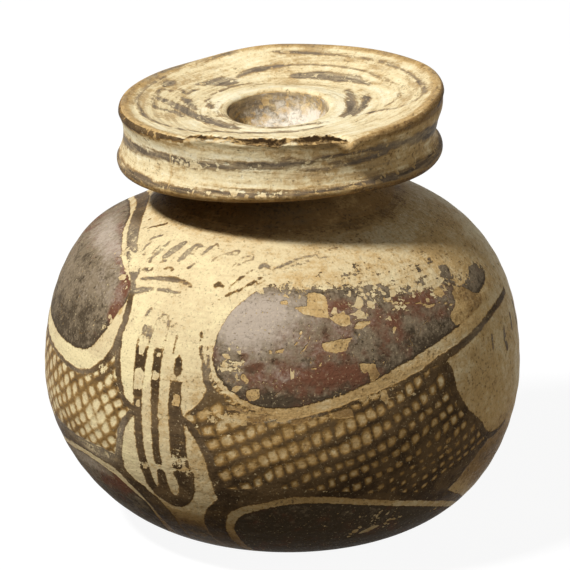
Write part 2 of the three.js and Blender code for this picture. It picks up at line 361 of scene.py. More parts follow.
# The net between the leaves on each side, and the dark ground under it
NET_LEFT = [
    (-18.3, 47.4), (-20, 46), (-22, 44.8), (-25, 43.5), (-28, 42.7), (-33, 42.3), (-40, 42.4), (-46, 42.6),
    (-55, 43.3), (-66, 45), (-75.5, 46.5), (-79, 43), (-83, 38.5), (-88, 35.5), (-94, 32.3), (-86, 29),
    (-75, 27.5), (-60, 30), (-45, 32.2), (-30, 32.2), (-19, 31.8), (-16.5, 31.3), (-15.5, 33), (-14.8, 35),
    (-13.5, 37.5), (-10.5, 40), (-13, 41), (-14.5, 42.5), (-15.8, 44.5), (-16.6, 46.5),
]
NET_RIGHT = [
    (9.3, 45.4), (10.5, 44.4), (13, 43.5), (16, 42.6), (19, 41.9), (22, 41.5), (28, 41.2), (33, 41.7),
    (38, 42.5), (45, 43.9), (55, 45), (62, 46), (66, 46.7), (67.3, 46.5), (69.2, 45), (70.3, 43.3),
    (71.3, 41.3), (73.3, 39.3), (76, 37.3), (79, 35.8), (81, 34.6), (83.5, 33.1), (85.5, 32.2), (83, 31.2),
    (81, 30.2), (78, 28.7), (75, 26.7), (72, 25.3), (65, 26.3), (55, 27.8), (45, 28.8), (35, 29.9),
    (25, 30.3), (20, 30), (14, 29.5), (12, 29), (11.6, 30), (10.8, 32), (10, 34.5), (8.8, 36), (7.3, 38),
    (5.3, 39.5), (3.5, 40.8), (6, 42.3), (8, 43.8),
]
NET_SLOPE = 0.26
NET_LEAN = 0.55
ROW_LINES = [26, 27.4, 29.35, 31.2, 33.15, 35.55, 37.95, 40.3, 43.3, 46.25, 48.8, 51.4, 54, 56.6]
ROW_AZIMUTH = 60
NET_WAVE = 0.3
NET_RIPPLE = 0.2
COLUMN_LINES = [6, 9.8, 13.6, 17.25, 20.4, 23, 25.55, 28.35, 31.4, 34.5, 37.3, 40.2, 43.6]
COLUMN_LENGTH = 36
COLUMN_PITCH = 2.9
MORE_COLUMNS = 20
COLUMN_WAVE = 1.2
NET_SPLIT = -4
LEFT_ROW_LINES = [
    38.9, 41.3, 43.7, 46, 48.25, 50.6, 53.4, 56, 58.05, 60.5, 63.2, 65.7, 68.2, 70.7, 73.2, 75.7, 78.2,
]
LEFT_SLOPE = 0.46
LEFT_COLUMN_START = -15.3
LEFT_COLUMN_PITCH = 4.12
LEFT_COLUMN_WAVE = 1.5
LEFT_LEAN = 1.09
LEFT_LENGTH = 38
GROUND_RIGHT = [
    (12, 30), (16, 30.1), (22, 30.5), (30, 30.5), (40, 29.7), (48, 28.7), (56, 27.7), (64, 26.7),
    (71, 25.8), (80, 23), (90, 19.5), (101, 15.6), (100, 14.9), (90, 18.2), (80, 21.2), (70, 23.6),
    (60, 25.6), (50, 27.2), (40, 28.6), (35, 28.9), (30, 29), (26, 28.6), (22, 27.8), (18, 27.1),
    (15, 26.3), (12.6, 25.1), (10.9, 22.6), (10.4, 20), (10.9, 17), (12.4, 13), (16, 9), (12, 8), (7.5, 11),
    (5, 16), (4.3, 20), (5, 23), (6.5, 25), (8.5, 26.5), (11.3, 28.2),
]
GROUND_LEFT = [
    (-15, 31.8), (-15, 30.4), (-12.8, 28.6), (-9.2, 27.2), (-6.5, 25.1), (-5, 23.2), (-4.6, 20), (-6, 16),
    (-10, 11), (-15, 8.3), (-17, 10), (-13, 13.5), (-10.8, 17), (-10.4, 20), (-10.8, 22.5), (-11.5, 24),
    (-13, 25.8), (-15, 27.3), (-17, 28.7), (-19.5, 29.6), (-23.2, 30.1), (-27.8, 30.4), (-34, 30.4),
    (-41, 29.8), (-58, 27.5), (-72, 24.2), (-88, 19.8), (-109, 14.6), (-108, 15.6), (-90, 21), (-74, 26.3),
    (-60, 30.3), (-45, 32.4), (-33, 32.4), (-24, 32.4), (-19, 32.2),
]

# The lotus bud between the leaves
BUD_FOOT = [
    (-9.2, 32), (-9, 30), (-8.6, 28.3), (-7, 26.8), (-4, 25.4), (-1.5, 25), (2, 26), (4.5, 28.3), (5.2, 31),
    (4.9, 32.3), (0.4, 32.2), (0.8, 30), (0.3, 28.2), (-0.8, 27.3), (-1.8, 27.7), (-2.2, 29), (-2.4, 31),
    (-3.2, 31.9), (-4.4, 31.4), (-4.8, 29.7), (-5.6, 28.4), (-6.4, 30), (-7, 32),
]
BUD_STRIPES = [
    [(-9.2, 31.6), (-9.5, 34), (-9.9, 37), (-10.3, 40), (-10.7, 43), (-11, 46), (-11.3, 49.3), (-8, 49.3),
     (-8.1, 46), (-8.3, 43), (-8, 40), (-7.7, 37), (-7.4, 34), (-7, 31.6)],
    [(-4.6, 32.6), (-4.8, 34), (-5, 38), (-5.4, 42), (-5.7, 46), (-5.8, 49.8), (-3.5, 49.8), (-3.5, 46),
     (-3.5, 42), (-3.3, 38), (-3, 34), (-3, 32.6)],
    [(0.3, 32), (0, 34), (-0.2, 37), (-0.4, 40), (-0.6, 42), (-0.6, 45.5), (2.5, 45.5), (2.6, 42),
     (3.2, 40), (3.9, 37), (4.3, 34), (4.7, 32)],
    [(0.3, 46.8), (0.3, 48.6), (1.2, 49.3), (2.1, 48.6), (2.1, 46.9), (1.2, 46.2)],
]

# Brush lines as (azimuth, length up the wall, width of the stroke)
LINES = [
    # The line round the upper left leaf
    [(-108, 57.5, 1.6), (-100, 61.5, 1.9), (-90, 65, 2), (-80, 67.2, 2), (-70, 68.2, 2), (-60, 68, 2),
     (-50, 66.9, 2), (-44, 65.9, 2), (-40, 65.1, 1.9), (-35, 63.8, 1.9), (-30, 62.4, 1.9), (-25, 60.9, 1.9),
     (-22, 59.6, 1.7), (-20.3, 58.1, 1), (-19, 57.1, 0.8), (-18.1, 55.8, 0.9), (-17.5, 54.5, 1),
     (-17, 53, 1.1), (-17.3, 51, 1.1), (-17.7, 49.5, 1.1), (-18.5, 47.7, 1.1), (-20, 46.3, 1),
     (-22, 45, 0.9), (-25, 43.7, 0.8), (-28, 42.9, 0.7), (-33, 42.5, 0.6), (-40, 42.6, 0.6),
     (-46, 42.9, 0.6), (-55, 43.4, 0.7), (-66, 45.3, 0.8), (-78, 47.9, 0.9), (-92, 49.9, 0.9),
     (-108, 50.4, 0.9)],
    # The line round the upper right leaf
    [(6.2, 53, 0.2), (6.8, 50.4, 0.3), (7.5, 48.9, 0.4), (8, 48, 0.8), (8.9, 46.3, 1), (10.4, 44.9, 1),
     (13, 43.7, 0.8), (16, 42.7, 0.6), (19, 41.9, 0.5), (22, 41.4, 0.5), (28, 41.2, 0.5), (33, 41.7, 0.5),
     (40, 42.7, 0.5), (45, 43.6, 0.45), (55, 45, 0.4), (62, 46.1, 0.5), (67, 46.9, 0.9), (75, 47.8, 1),
     (80, 48.4, 1), (85, 49, 1), (90, 49.6, 0.9), (95, 50, 0.9), (100, 50.2, 0.8), (108, 50.4, 0.7)],
    [(8.2, 51.5, 0.15), (8.8, 49.3, 0.2), (9.5, 47.5, 0.2), (11, 46, 0.2), (13.5, 44.6, 0.2),
     (17, 43.3, 0.2), (20.5, 42.4, 0.2), (25, 42, 0.15)],
    [(9, 57.8, 0.2), (12.5, 59.2, 0.25), (15.8, 60.2, 0.25), (20, 61.8, 0.25), (23.5, 62.9, 0.3),
     (27, 64.1, 0.35), (33, 65.4, 0.3), (36.5, 65.8, 0.3), (40, 65.9, 0.25)],
    [(20, 61, 0.15), (25.5, 62.5, 0.2), (28.8, 63.7, 0.2), (34.2, 64.6, 0.2), (38, 65.1, 0.25),
     (44.5, 65.6, 0.25)],
    [(45.5, 66.8, 0.3), (48.8, 67, 0.3)],
    [(58.2, 63.5, 0.35), (63.5, 62.9, 0.3)],
    [(66.2, 66.4, 0.15), (74, 66.4, 0.2), (82, 65.8, 0.2), (92, 64, 0.2)],
    # The ends of the right net
    [(67.5, 47, 1.2), (69.5, 45.5, 1.6), (70.5, 43.5, 1.5), (71.5, 41.5, 1.2), (73.5, 39.5, 1.1),
     (76, 37.5, 1.1), (79, 36, 1.2), (81, 34.8, 1.2), (83.5, 33.3, 1.2), (86, 32.3, 1.1), (90, 32.1, 0.9),
     (96, 32.5, 0.6)],
    [(86, 32.2, 1.1), (83, 31, 0.9), (81, 30, 0.9), (78, 28.5, 1), (75, 26.5, 1.2), (72, 25, 1.3)],
    # The ends of the left net
    [(-75.5, 47, 1.2), (-78, 44.5, 1.5), (-80, 41.5, 1.2), (-84, 37.8, 1.1), (-89, 35, 1.2),
     (-94, 32.3, 1.1), (-104, 32.5, 0.6)],
    [(-94, 32.2, 1.1), (-88, 29.7, 0.9), (-80, 25.5, 1.3)],
    # The lines between bud and nets
    [(2.5, 40.5, 0.9), (5, 39.5, 1), (7, 38, 1.1), (8.6, 36.2, 1.2), (9.8, 34.5, 1.3), (10.6, 32, 1.4),
     (11.4, 30, 1.6), (12, 28.3, 1.8)],
    [(5.6, 41.5, 0.8), (8.6, 42.9, 0.8)],
    [(9.7, 45.2, 0.9), (8.6, 43.9, 0.5)],
    [(-9, 39.9, 1.1), (-11, 39.5, 1.1), (-13.5, 37.5, 1.1), (-14.8, 35, 1.1), (-15.6, 33, 1.2),
     (-16.6, 31, 1.3)],
    [(-10.3, 40.3, 0.8), (-13, 41, 0.9), (-14.5, 42.5, 0.9), (-15.8, 44.5, 1), (-16.7, 46.5, 1),
     (-17.3, 49, 1)],
    # The arcs over the bud
    [(-17.6, 58.8, 0.4), (-13.8, 59.5, 0.6), (-10.2, 59.9, 0.75), (-6.8, 60, 0.75), (-3.2, 60, 0.6),
     (-0.2, 59.5, 0.3)],
    [(-18.3, 56.5, 0.8), (-14.8, 57.3, 0.8), (-12, 57.8, 0.5)],
    [(-10, 58, 0.55), (-7.8, 58.1, 0.6), (-4.2, 58.1, 0.4), (-2.4, 58.3, 0.2)],
    # What is left of the top of the bud
    [(-10.6, 53.9, 0.5), (-10.3, 54.4, 0.7), (-9.8, 54.9, 0.3)],
    [(-10.2, 51.3, 0.3), (-10, 52.2, 0.7), (-9.6, 52.9, 0.3), (-8.6, 52.6, 0.4), (-8.9, 51.3, 0.5)],
    [(-11.4, 49.2, 0.3), (-11.2, 50.6, 0.2)],
    [(-8, 49.2, 0.25), (-7.6, 52, 0.15), (-6.4, 54.2, 0.15), (-4.6, 54.6, 0.2), (-3.3, 53, 0.15),
     (-3.4, 49.8, 0.2)],
    [(-0.6, 49.4, 0.2), (-0.2, 52.2, 0.15)],
    # The row of tongues on the shoulder
    [(-37, 67.2, 0.25), (-34.8, 68.2, 0.45), (-31, 69.2, 0.35)],
    [(-28.5, 65.7, 0.5), (-27.5, 66.5, 0.65), (-25.5, 67.2, 0.5)],
    [(-26.8, 65.1, 0.3), (-27, 64.2, 0.3), (-26.2, 63.4, 0.4), (-24.2, 62.9, 0.35)],
    [(-19.2, 62, 0.55), (-20, 62.9, 0.5), (-19.3, 64, 0.8), (-19.2, 65.1, 0.7), (-19, 66.3, 0.4)],
    [(-21, 63.2, 0.25), (-21.4, 64.5, 0.3), (-21, 65.4, 0.25)],
    [(-15.5, 63.5, 0.75), (-14.5, 64.4, 1.1), (-13.5, 65.6, 1.35), (-12.2, 66.9, 0.7)],
    [(-9, 63.4, 0.7), (-8, 64.3, 1), (-7.8, 65.2, 0.95), (-7.2, 66.3, 0.45), (-6.2, 66.9, 0.5),
     (-4.2, 66.8, 0.6)],
    [(-4.2, 66.8, 0.4), (-5.5, 66, 0.2)],
    [(-7.2, 64.6, 0.4), (-5, 65.1, 0.3)],
    [(-2, 65.1, 0.2), (-0.8, 66.1, 0.5), (1.2, 67.5, 0.2), (3, 66.8, 0.2)],
    [(-3.8, 62.4, 0.35), (-2.5, 63.2, 0.5)],
    [(-15.2, 62.4, 0.2), (-13.5, 62.9, 0.3)],
    [(3.2, 64, 0.15), (4, 65, 0.15), (6.2, 65.7, 0.2), (8.5, 66.2, 0.2), (10.8, 66.8, 0.2), (11.2, 66, 0.2),
     (8.8, 65.8, 0.2)],
    [(11.5, 60, 0.15), (13.8, 61.4, 0.2), (15.5, 62.4, 0.2), (17.8, 63.3, 0.15)],
    [(11, 63.7, 0.15), (12.5, 65.1, 0.2), (16.5, 66, 0.25), (17.2, 65.3, 0.3), (15.2, 64.9, 0.15),
     (12, 63.8, 0.15)],
    [(7.2, 60.1, 0.4), (8.2, 60.5, 0.7), (9.8, 60.1, 0.4)],
    [(20, 63.8, 0.4), (21.3, 64.3, 0.6), (23, 63.9, 0.5)],
    [(-19.5, 60.4, 0.6), (-16.5, 60.9, 0.5)],
    [(-11.8, 61.6, 0.3), (-10.2, 61.8, 0.4), (-8.8, 61.5, 0.35)],
    [(-44.2, 68.5, 0.3), (-43.7, 68.5, 0.3)],
    # Strokes towards the handle
    [(89.5, 47, 0.5), (89, 45, 0.6)],
    [(97.5, 46.6, 0.7), (97, 45, 1), (97.3, 43.6, 0.9)],
    [(105, 47.3, 0.7), (104.3, 45.2, 0.6)],
    [(113, 47.4, 0.7), (112.4, 44.4, 0.9)],
    [(-98.5, 47.2, 0.6), (-98, 44.6, 0.9)],
    [(-106.5, 47.4, 0.7), (-106, 44.2, 0.9)],
]

# Places where the paint has come off in sheets, as outlines
FLAKES = [
    [(30, 57.4), (34, 57.5), (34.5, 59.7), (38, 59.3), (39.8, 58.8), (39.5, 55.6), (36, 55.8), (33, 56.2)],
    [(39.5, 55.6), (42, 56), (45, 55.8), (45, 54.4), (43, 54.1), (41, 54.8)],
    [(45, 53.5), (47, 54.6), (51, 54.6), (50.5, 54.1), (48, 53.6)],
    [(36, 52), (37.5, 51), (40, 50.5), (43, 50.8), (43.5, 51.7), (44.8, 52.5), (42, 52.4), (39, 52.2)],
    [(45.5, 48.8), (49.8, 48.5), (50, 47.4), (50.5, 46.6), (48, 46), (47.5, 47.5), (46.5, 47.1)],
    [(23.5, 50.7), (27.5, 50.8), (27.3, 51.5), (25, 51.2), (23.8, 51.2)],
    [(18, 45), (19, 44), (21.5, 44.3), (21.5, 45.8), (19, 45.6)],
    [(16.5, 47.2), (18.5, 46.4), (19.2, 47), (17.5, 47.8)],
    [(26.5, 57.7), (29, 57.8), (28.5, 58.3), (26.8, 58.3)],
    [(79.6, 55.2), (82, 55.9), (86, 55), (88, 53.9), (91.5, 53), (90, 51.8), (84, 51.3), (79, 50.7),
     (76, 50.8), (75, 51.7), (75.6, 52.6), (78.6, 53.4), (79.4, 54.4)],
    [(73, 56.4), (76, 56.7), (77, 55.6), (75, 55.2), (73.4, 55.7)],
    [(56, 52.2), (57.8, 53), (57, 53.2), (55.8, 52.8)],
    [(57, 55.1), (58.6, 55.4), (58.3, 55.7), (56.9, 55.5)],
    [(-20.3, 53.4), (-19.3, 54.1), (-19, 53.1), (-19.9, 52.7)],
    [(13.5, 43.4), (17.5, 43), (18, 42.4), (14, 42.5)],
    [(19, 41.4), (22.8, 41.9), (22.5, 40.9), (20, 40.7)],
    [(28, 41.2), (33.5, 41.9), (33.5, 41.2), (29, 40.6)],
    [(38, 42.3), (43, 42.6), (43.5, 41.4), (39.5, 41.2)],
    [(-10.7, 43.2), (-8.2, 43.2), (-8, 45.8), (-9.5, 46.6), (-10.9, 45.8)],
    [(-10.3, 48.2), (-8.8, 48.2), (-8.7, 49.6), (-10.6, 49.6)],
    [(-9.9, 40.8), (-8.6, 40.8), (-8.6, 41.8), (-9.8, 41.8)],
    [(-5.6, 45.2), (-3.6, 45.2), (-3.6, 46.4), (-5.6, 46.4)],
    [(-5.2, 48.5), (-3.7, 48.5), (-3.9, 49.3), (-5, 49.3)],
    [(0.3, 42.1), (2.4, 42.1), (2.3, 43.8), (0.6, 43.9)],
    [(-7, 32), (-5.6, 32.5), (-4.4, 32.2), (-3.4, 32.7), (-2.6, 32.4), (-4.6, 31.8)],
    [(-0.4, 32.3), (0.8, 32.7), (2.2, 32.5), (3.4, 33.1), (5.2, 32.9), (4, 32.5), (1.8, 32.1)],
    [(1, 33.6), (1.8, 34), (1.7, 33.5)],
    [(2.2, 35.3), (2.8, 35.8), (2.7, 35.1)],
    [(-8.5, 31.2), (-7.3, 31.3), (-7.2, 32.2), (-8.4, 32.2)],
]

# Fine cracks in the paint, which show the clay
CRACKS = [
    [(34.2, 54.5, 0.1), (33.8, 52.5, 0.22), (32.5, 51.4, 0.2), (31.5, 50.8, 0.1)],
    [(29.8, 51.8, 0.12), (31, 52.5, 0.18), (32, 53.9, 0.12)],
    [(33.5, 52.4, 0.2), (35.2, 52.4, 0.2), (36.5, 52.9, 0.15)],
    [(33.8, 50.1, 0.15), (33.5, 48.8, 0.2), (34.8, 48.6, 0.2), (36.8, 49.5, 0.12)],
    [(56.5, 57.6, 0.2), (56.8, 56.9, 0.35), (61.2, 56.1, 0.34), (66.8, 55.4, 0.34), (69.2, 54.6, 0.38),
     (72.8, 54.7, 0.34), (78, 53.6, 0.3)],
]

# Soft fields as (azimuth, length, half width and half height in mm, strength)
WORN = [
    (-8, 31.9, 1.6, 0.5, 0.5), (-4.5, 32.1, 2, 0.45, 0.5), (-1, 32.2, 2.2, 0.5, 0.4),
    (15.5, 48.9, 1.5, 1.5, 0.3), (29, 60.2, 4, 1.3, 0.4), (70, 58.6, 5, 1.6, 0.45),
    (46, 60.2, 6, 1.2, -0.15), (60, 64.2, 7, 1.8, 0.6), (72, 63.8, 7, 2.2, 0.8), (84, 61.5, 6, 2.6, 0.8),
    (95, 57, 5, 3, 0.85), (82, 58.6, 1.4, 1.5, -1.7), (94.5, 55.8, 2.2, 1.6, -1.4),
    (73, 60.3, 0.9, 1.1, -1.3), (90.5, 54.7, 1.6, 1, -0.8), (67.8, 61.3, 0.7, 0.4, -1.2),
    (80.5, 63.2, 1.5, 0.4, -0.9), (84.5, 61.5, 1.8, 0.4, -0.9), (67.3, 63.1, 0.8, 0.6, -0.8),
    (71.3, 58.6, 1.6, 0.6, -0.7), (-22.6, 50.6, 1.2, 1.6, 0.35), (30, 62.6, 7, 1.6, 0.4),
    (45, 62.2, 8, 2.2, 0.8), (58, 62, 8, 2.4, 0.8), (72, 61, 8, 2.4, 0.75), (85, 58.2, 5, 3, 0.75),
    (15.5, 51.5, 1.6, 1.6, 0.35), (14, 48.5, 1.4, 1, 0.45), (-20, 55, 0.8, 2, 0.4),
    (-30, 62.6, 4, 1.5, 0.45), (-24, 60.5, 2.5, 1.5, 0.5), (-9.5, 52.5, 1.5, 3, 0.45),
    (2, 33.6, 2.4, 1.8, 0.5), (-13, 65.4, 2.5, 1.6, 0.15), (-20, 64.5, 2, 2, 0.3), (-7, 65.5, 2, 2, 0.25),
    (-4, 58.2, 7, 0.8, 0.4), (22, 64, 3, 1.2, 0.2), (7, 51.5, 1, 2.5, 0.5), (78, 64.5, 10, 2, 0.4),
    (-26, 61, 3, 2.5, 0.3), (25, 41.6, 9, 1, 0.45), (55, 22, 4, 3, 0.35), (-20, 44, 3, 2.5, 0.3),
    (-27, 66.7, 2, 1, 0.3), (14, 40.5, 4, 2, 0.3), (55, 42.5, 5, 1.6, 0.25), (46, 44, 5, 1, 0.3),
    (22, 47, 6, 2, 0.2), (65, 56, 7, 2, 0.2), (50, 57, 6, 2, 0.25), (180, 40, 40, 20, 0.3),
]
RED = [
    (30, 47.2, 8, 2.2, 0.5), (42, 57.2, 3, 1, 0.6), (55, 53.5, 4, 3, 0.35), (68, 56.2, 5, 1, 0.55),
    (-34, 61.3, 11, 1, 0.55), (-23.3, 55, 1.6, 3.4, 0.75), (-26, 48.3, 2, 1.6, 0.6), (-75, 58, 10, 4, 0.3),
    (-42, 53, 12, 5, -0.35), (-21.5, 52.5, 1.4, 2.2, 0.7), (36, 52, 6, 3, 0.3), (42, 47.5, 5, 1.6, 0.5),
    (24, 53, 4, 3, 0.15), (62, 51, 8, 2, -0.1), (-40, 49, 14, 4, -0.4), (-21.3, 57, 1, 1.5, 0.7),
    (-24, 58.6, 2, 0.8, 0.7), (-29, 60.1, 3, 0.7, 0.6), (-37, 62.2, 4, 0.7, 0.6), (-46, 64, 4, 0.7, 0.5),
    (72, 53.5, 5, 2, 0.3), (-21, 26.3, 4, 2, 0.6),
]
# Soil stains and painted shade: the spots high on the right shoulder are partly painted shade under the disc,
# and the strong spot low at the front darkens the clay towards the foot.
SOIL_AND_SHADE = [
    (86, 28, 9, 6, 0.4), (-4, 31, 9, 5, -0.12), (-12, 36, 4, 6, -0.08), (27, 38, 4, 5, 0.2),
    (35, 62.4, 6, 2.5, 0.14), (108, 62, 8, 5, 0.15), (92, 29, 7, 6, 0.25), (43, 28, 12, 1.6, 0.4),
    (-35, 44.2, 12, 1.6, -0.55), (-35, 37, 14, 5, -0.2), (-12, 48, 3, 6, -0.35), (-5, 63, 14, 5, -0.1),
    (25, 66, 12, 3, -0.05), (90, 40, 14, 9, 0.25), (100, 26, 14, 6, 0.3), (57, 47, 10, 1.6, 0.3),
    (76, 50, 8, 1.4, 0.25), (45, 37, 20, 7, 0.2), (20, 34, 9, 5, 0.2), (18, 43.5, 6, 1.3, 0.1),
    (45, 44.7, 8, 1.3, 0.3), (-9.5, 50.6, 1.4, 1.2, 0.35), (62, 64, 20, 4.5, 0.1), (88, 60, 12, 9, 0.26),
    (62, 33, 12, 5, 0.35), (-1, 16, 7, 6.5, 1.7), (28, 42, 12, 1.4, 0.34), (180, 30, 40, 30, 0.22),
    (-120, 40, 20, 16, 0.16), (3, 46, 3, 6, 0.02), (30, 62, 10, 2, 0.06), (-6, 37, 5, 8, 0.08),
]
THIN = [
    (-4, 41, 7, 7, 0.1), (18, 39, 4, 5, 0.12), (-23, 32, 5, 3, 0.3), (-21, 35.5, 4, 3, 0.2),
    (-14, 65, 9, 3, 0.32), (-10, 59, 7, 1.5, 0.4), (-6, 58.1, 6, 0.6, 0.3), (-16, 57, 3, 0.8, 0.4),
    (10, 64.5, 10, 3, 0.35), (-45, 65, 12, 3, 0.32), (-26, 61, 4, 3, 0.32), (48, 38, 13, 5, 0.15),
    (-50, 37, 17, 6, 0.7), (-24, 38, 6, 5, 0.4), (22, 36, 13, 5, 0.25), (60, 34, 12, 6, -0.25),
    (58, 29, 14, 3, -0.3), (20, 31, 8, 2.5, -0.2), (-18, 50, 1.5, 6, 0.3), (85, 48, 8, 3, 0.3),
    (9, 49, 2, 5, 0.35), (28, 41, 12, 1.2, 0.3), (75, 65, 20, 2.5, 0.6), (100, 45, 10, 3, 0.3),
    (-9, 53, 3, 2.5, 0.45), (-4, 53, 4, 3, 0.4),
]
# A pale film over the leaf paint, which is also painted sheen where the lamp's gloss falls on the leaves;
# negative values darken the paint.
HAZE_AND_SHEEN = [
    (-44, 57.8, 6, 2, -0.28), (-34.5, 56.3, 4, 2.5, 0.2), (-61, 61, 7, 3, 0.2), (22, 50, 9, 3.5, 0.1),
    (18, 58, 5, 1.5, 0.15), (26, 47.7, 4, 1.5, 0.12), (30, 46.6, 6, 1.4, 0.15), (13, 50, 2, 2, -0.2),
    (21, 50.5, 3, 2, -0.22), (77, 54.5, 4, 2, 0.2), (-39, 48.2, 8, 3, -0.2), (40, 53, 5, 2, 0.12),
    (17, 54, 4.5, 4.5, 0.75), (25, 57, 5, 3, 0.5), (-36, 60.5, 10, 2.8, 0.4), (-58, 62.5, 10, 2.5, 0.35),
    (-24, 55, 2, 2, 0.3), (30, 52, 8, 5, 0.15), (24, 44.3, 9, 1.1, -0.6), (45, 18, 40, 10, -0.7),
    (-45, 18, 40, 10, 0.2), (-31, 28.3, 7, 1.6, 0.5), (-48, 54, 14, 8, 0.14), (-42, 48, 12, 3, -0.2),
    (50, 55.5, 10, 3, 0.12), (17.2, 50.2, 0.6, 0.4, -0.9), (19.2, 48.4, 0.8, 0.5, -1),
    (21.2, 48.9, 0.5, 0.4, -0.8), (25, 49.7, 0.8, 0.3, -0.8), (38, 53.6, 0.8, 0.7, -0.7),
    (45, 46.5, 10, 0.8, -0.4), (66, 50.2, 9, 0.8, -0.3),
]


# Body
BODY_SPACING = 0.43
BASE_SPACING = 1.2
SEAT_SPACING = 3
CAVITY_SPACING = 3.2
FRONT_FROM = -76
FRONT_TO = 114
FRONT_STEP = 0.52
BACK_STEP = 1.5
SWELL_OVAL = 0.16
SWELL_THREE = 0.1
SWELL_ZONE = (1, 8, 44, 50)
RIDGE_HEIGHT = 0.022
RIDGE_PITCH = 2.9
FOOT_SLIP = 0.7
SHOULDER_SLIP = 0.3
SAG = 1.2
SAG_ZONE = (42, 46.5, 48.4, 49.7)
SAG_TOWARDS = math.radians(-88)
WORN_LIMIT = 0.86
# Painted shade: the top of the shoulder, under the disc, darkened towards the neck.
TOP_PAINTED_SHADE = 0.55
TOP_PAINTED_SHADE_FROM = (68, 72)


def body_azimuths():
    """Directions round the body, close together across the painted front and wider apart behind it."""
    front = np.linspace(FRONT_FROM, FRONT_TO, round((FRONT_TO - FRONT_FROM) / FRONT_STEP), endpoint=False)
    back_span = 360 - (FRONT_TO - FRONT_FROM)
    back = np.linspace(FRONT_TO, FRONT_TO + back_span, round(back_span / BACK_STEP), endpoint=False)
    return np.concatenate([front, back])


def body_outside():
    span = SHOULDER_HEIGHT - BELLY_HEIGHT
    lower = bezier(
        (BASE_RADIUS, 0),
        (BASE_RADIUS + BASE_FULLNESS * (BODY_RADIUS - BASE_RADIUS), 0),
        (BODY_RADIUS, BELLY_HEIGHT * (1 - BELLY_FULLNESS)),
        (BODY_RADIUS, BELLY_HEIGHT),
        steps=400,
    )
    upper = bezier(
        (BODY_RADIUS, BELLY_HEIGHT),
        (BODY_RADIUS, BELLY_HEIGHT + SHOULDER_FULLNESS * span),
        (
            SEAT_RADIUS + SHOULDER_RUN * math.cos(SHOULDER_SLOPE),
            SHOULDER_HEIGHT - SHOULDER_RUN * math.sin(SHOULDER_SLOPE),
        ),
        (SEAT_RADIUS, SHOULDER_HEIGHT),
        steps=400,
    )
    return chain(lower, upper)


def body_inside():
    """The neck's seat, the hole in the shoulder and the cavity, down to just off the middle of the floor."""
    middle = BELLY_HEIGHT
    seat = [(SEAT_RADIUS, SHOULDER_HEIGHT), (HOLE_RADIUS, SHOULDER_HEIGHT), (HOLE_RADIUS, CAVITY_TOP)]
    roof = bezier(
        (HOLE_RADIUS, CAVITY_TOP),
        (HOLE_RADIUS + CAVITY_FULLNESS * (CAVITY_RADIUS - HOLE_RADIUS), CAVITY_TOP),
        (CAVITY_RADIUS, middle + CAVITY_FULLNESS * (CAVITY_TOP - middle)),
        (CAVITY_RADIUS, middle),
    )
    floor = bezier(
        (CAVITY_RADIUS, middle),
        (CAVITY_RADIUS, middle - CAVITY_FULLNESS * (middle - CAVITY_FLOOR)),
        (CAVITY_FULLNESS * CAVITY_RADIUS, CAVITY_FLOOR),
        (0, CAVITY_FLOOR),
    )
    cavity = spaced(chain(roof, floor), CAVITY_SPACING)[1:-1]
    return np.concatenate([spaced(np.array(seat), SEAT_SPACING), cavity])


def thrown(points, length, azimuth):
    """Small faults of throwing: out of round, faint ridges, a foot set to one side and a sagged shoulder."""
    angle = np.radians(azimuth)[None, :]
    height = points[..., 2]
    body = between(height, *SWELL_ZONE)
    swell = SWELL_OVAL * np.cos(2 * angle - 1.1) + SWELL_THREE * np.cos(3 * angle + 0.7 + height / 9)
    ridges = RIDGE_HEIGHT * np.sin(2 * math.pi * length[:, None] / RIDGE_PITCH + 0.8 * np.sin(angle))
    away = points[..., :2] / np.maximum(np.linalg.norm(points[..., :2], axis=2, keepdims=True), 1e-6)
    points[..., :2] += away * (body * (swell + ridges))[..., None]
    slip = FOOT_SLIP * fading(height, 0, 20) - SHOULDER_SLIP * smooth_step(height, 30, 50)
    points[..., :2] += slip[..., None] * VIEW_RIGHT
    points[..., 2] -= SAG * between(height, *SAG_ZONE) * np.maximum(np.cos(angle - SAG_TOWARDS), 0)
    return points


def net_rows(wall):
    """Rows and columns of the net at each point of the wall, as running numbers with lines at whole ones."""
    azimuth = wall.azimuth[None, :]
    length = wall.length[:, None]
    wave = NET_WAVE * np.sin(np.radians(azimuth * 9))
    wave = wave + NET_RIPPLE * np.sin(length * 0.8 + np.radians(azimuth * 5))
    rise = length - NET_SLOPE * (azimuth - ROW_AZIMUTH) + wave
    rows = np.interp(rise, ROW_LINES, np.arange(len(ROW_LINES)))
    across = azimuth + NET_LEAN * (length - COLUMN_LENGTH) + COLUMN_WAVE * wave
    lines = COLUMN_LINES + [COLUMN_LINES[-1] + COLUMN_PITCH * (i + 1) for i in range(MORE_COLUMNS)]
    columns = np.interp(across, lines, np.arange(len(lines)))
    left = np.broadcast_to(azimuth < NET_SPLIT, wall.shape)
    left_rise = length - LEFT_SLOPE * azimuth + wave
    left_rows = np.interp(left_rise, LEFT_ROW_LINES, np.arange(len(LEFT_ROW_LINES)))
    left_across = azimuth + LEFT_LEAN * (length - LEFT_LENGTH) + LEFT_COLUMN_WAVE * wave
    left_columns = (left_across - LEFT_COLUMN_START) / LEFT_COLUMN_PITCH
    return np.where(left, left_rows, rows), np.where(left, left_columns, columns)


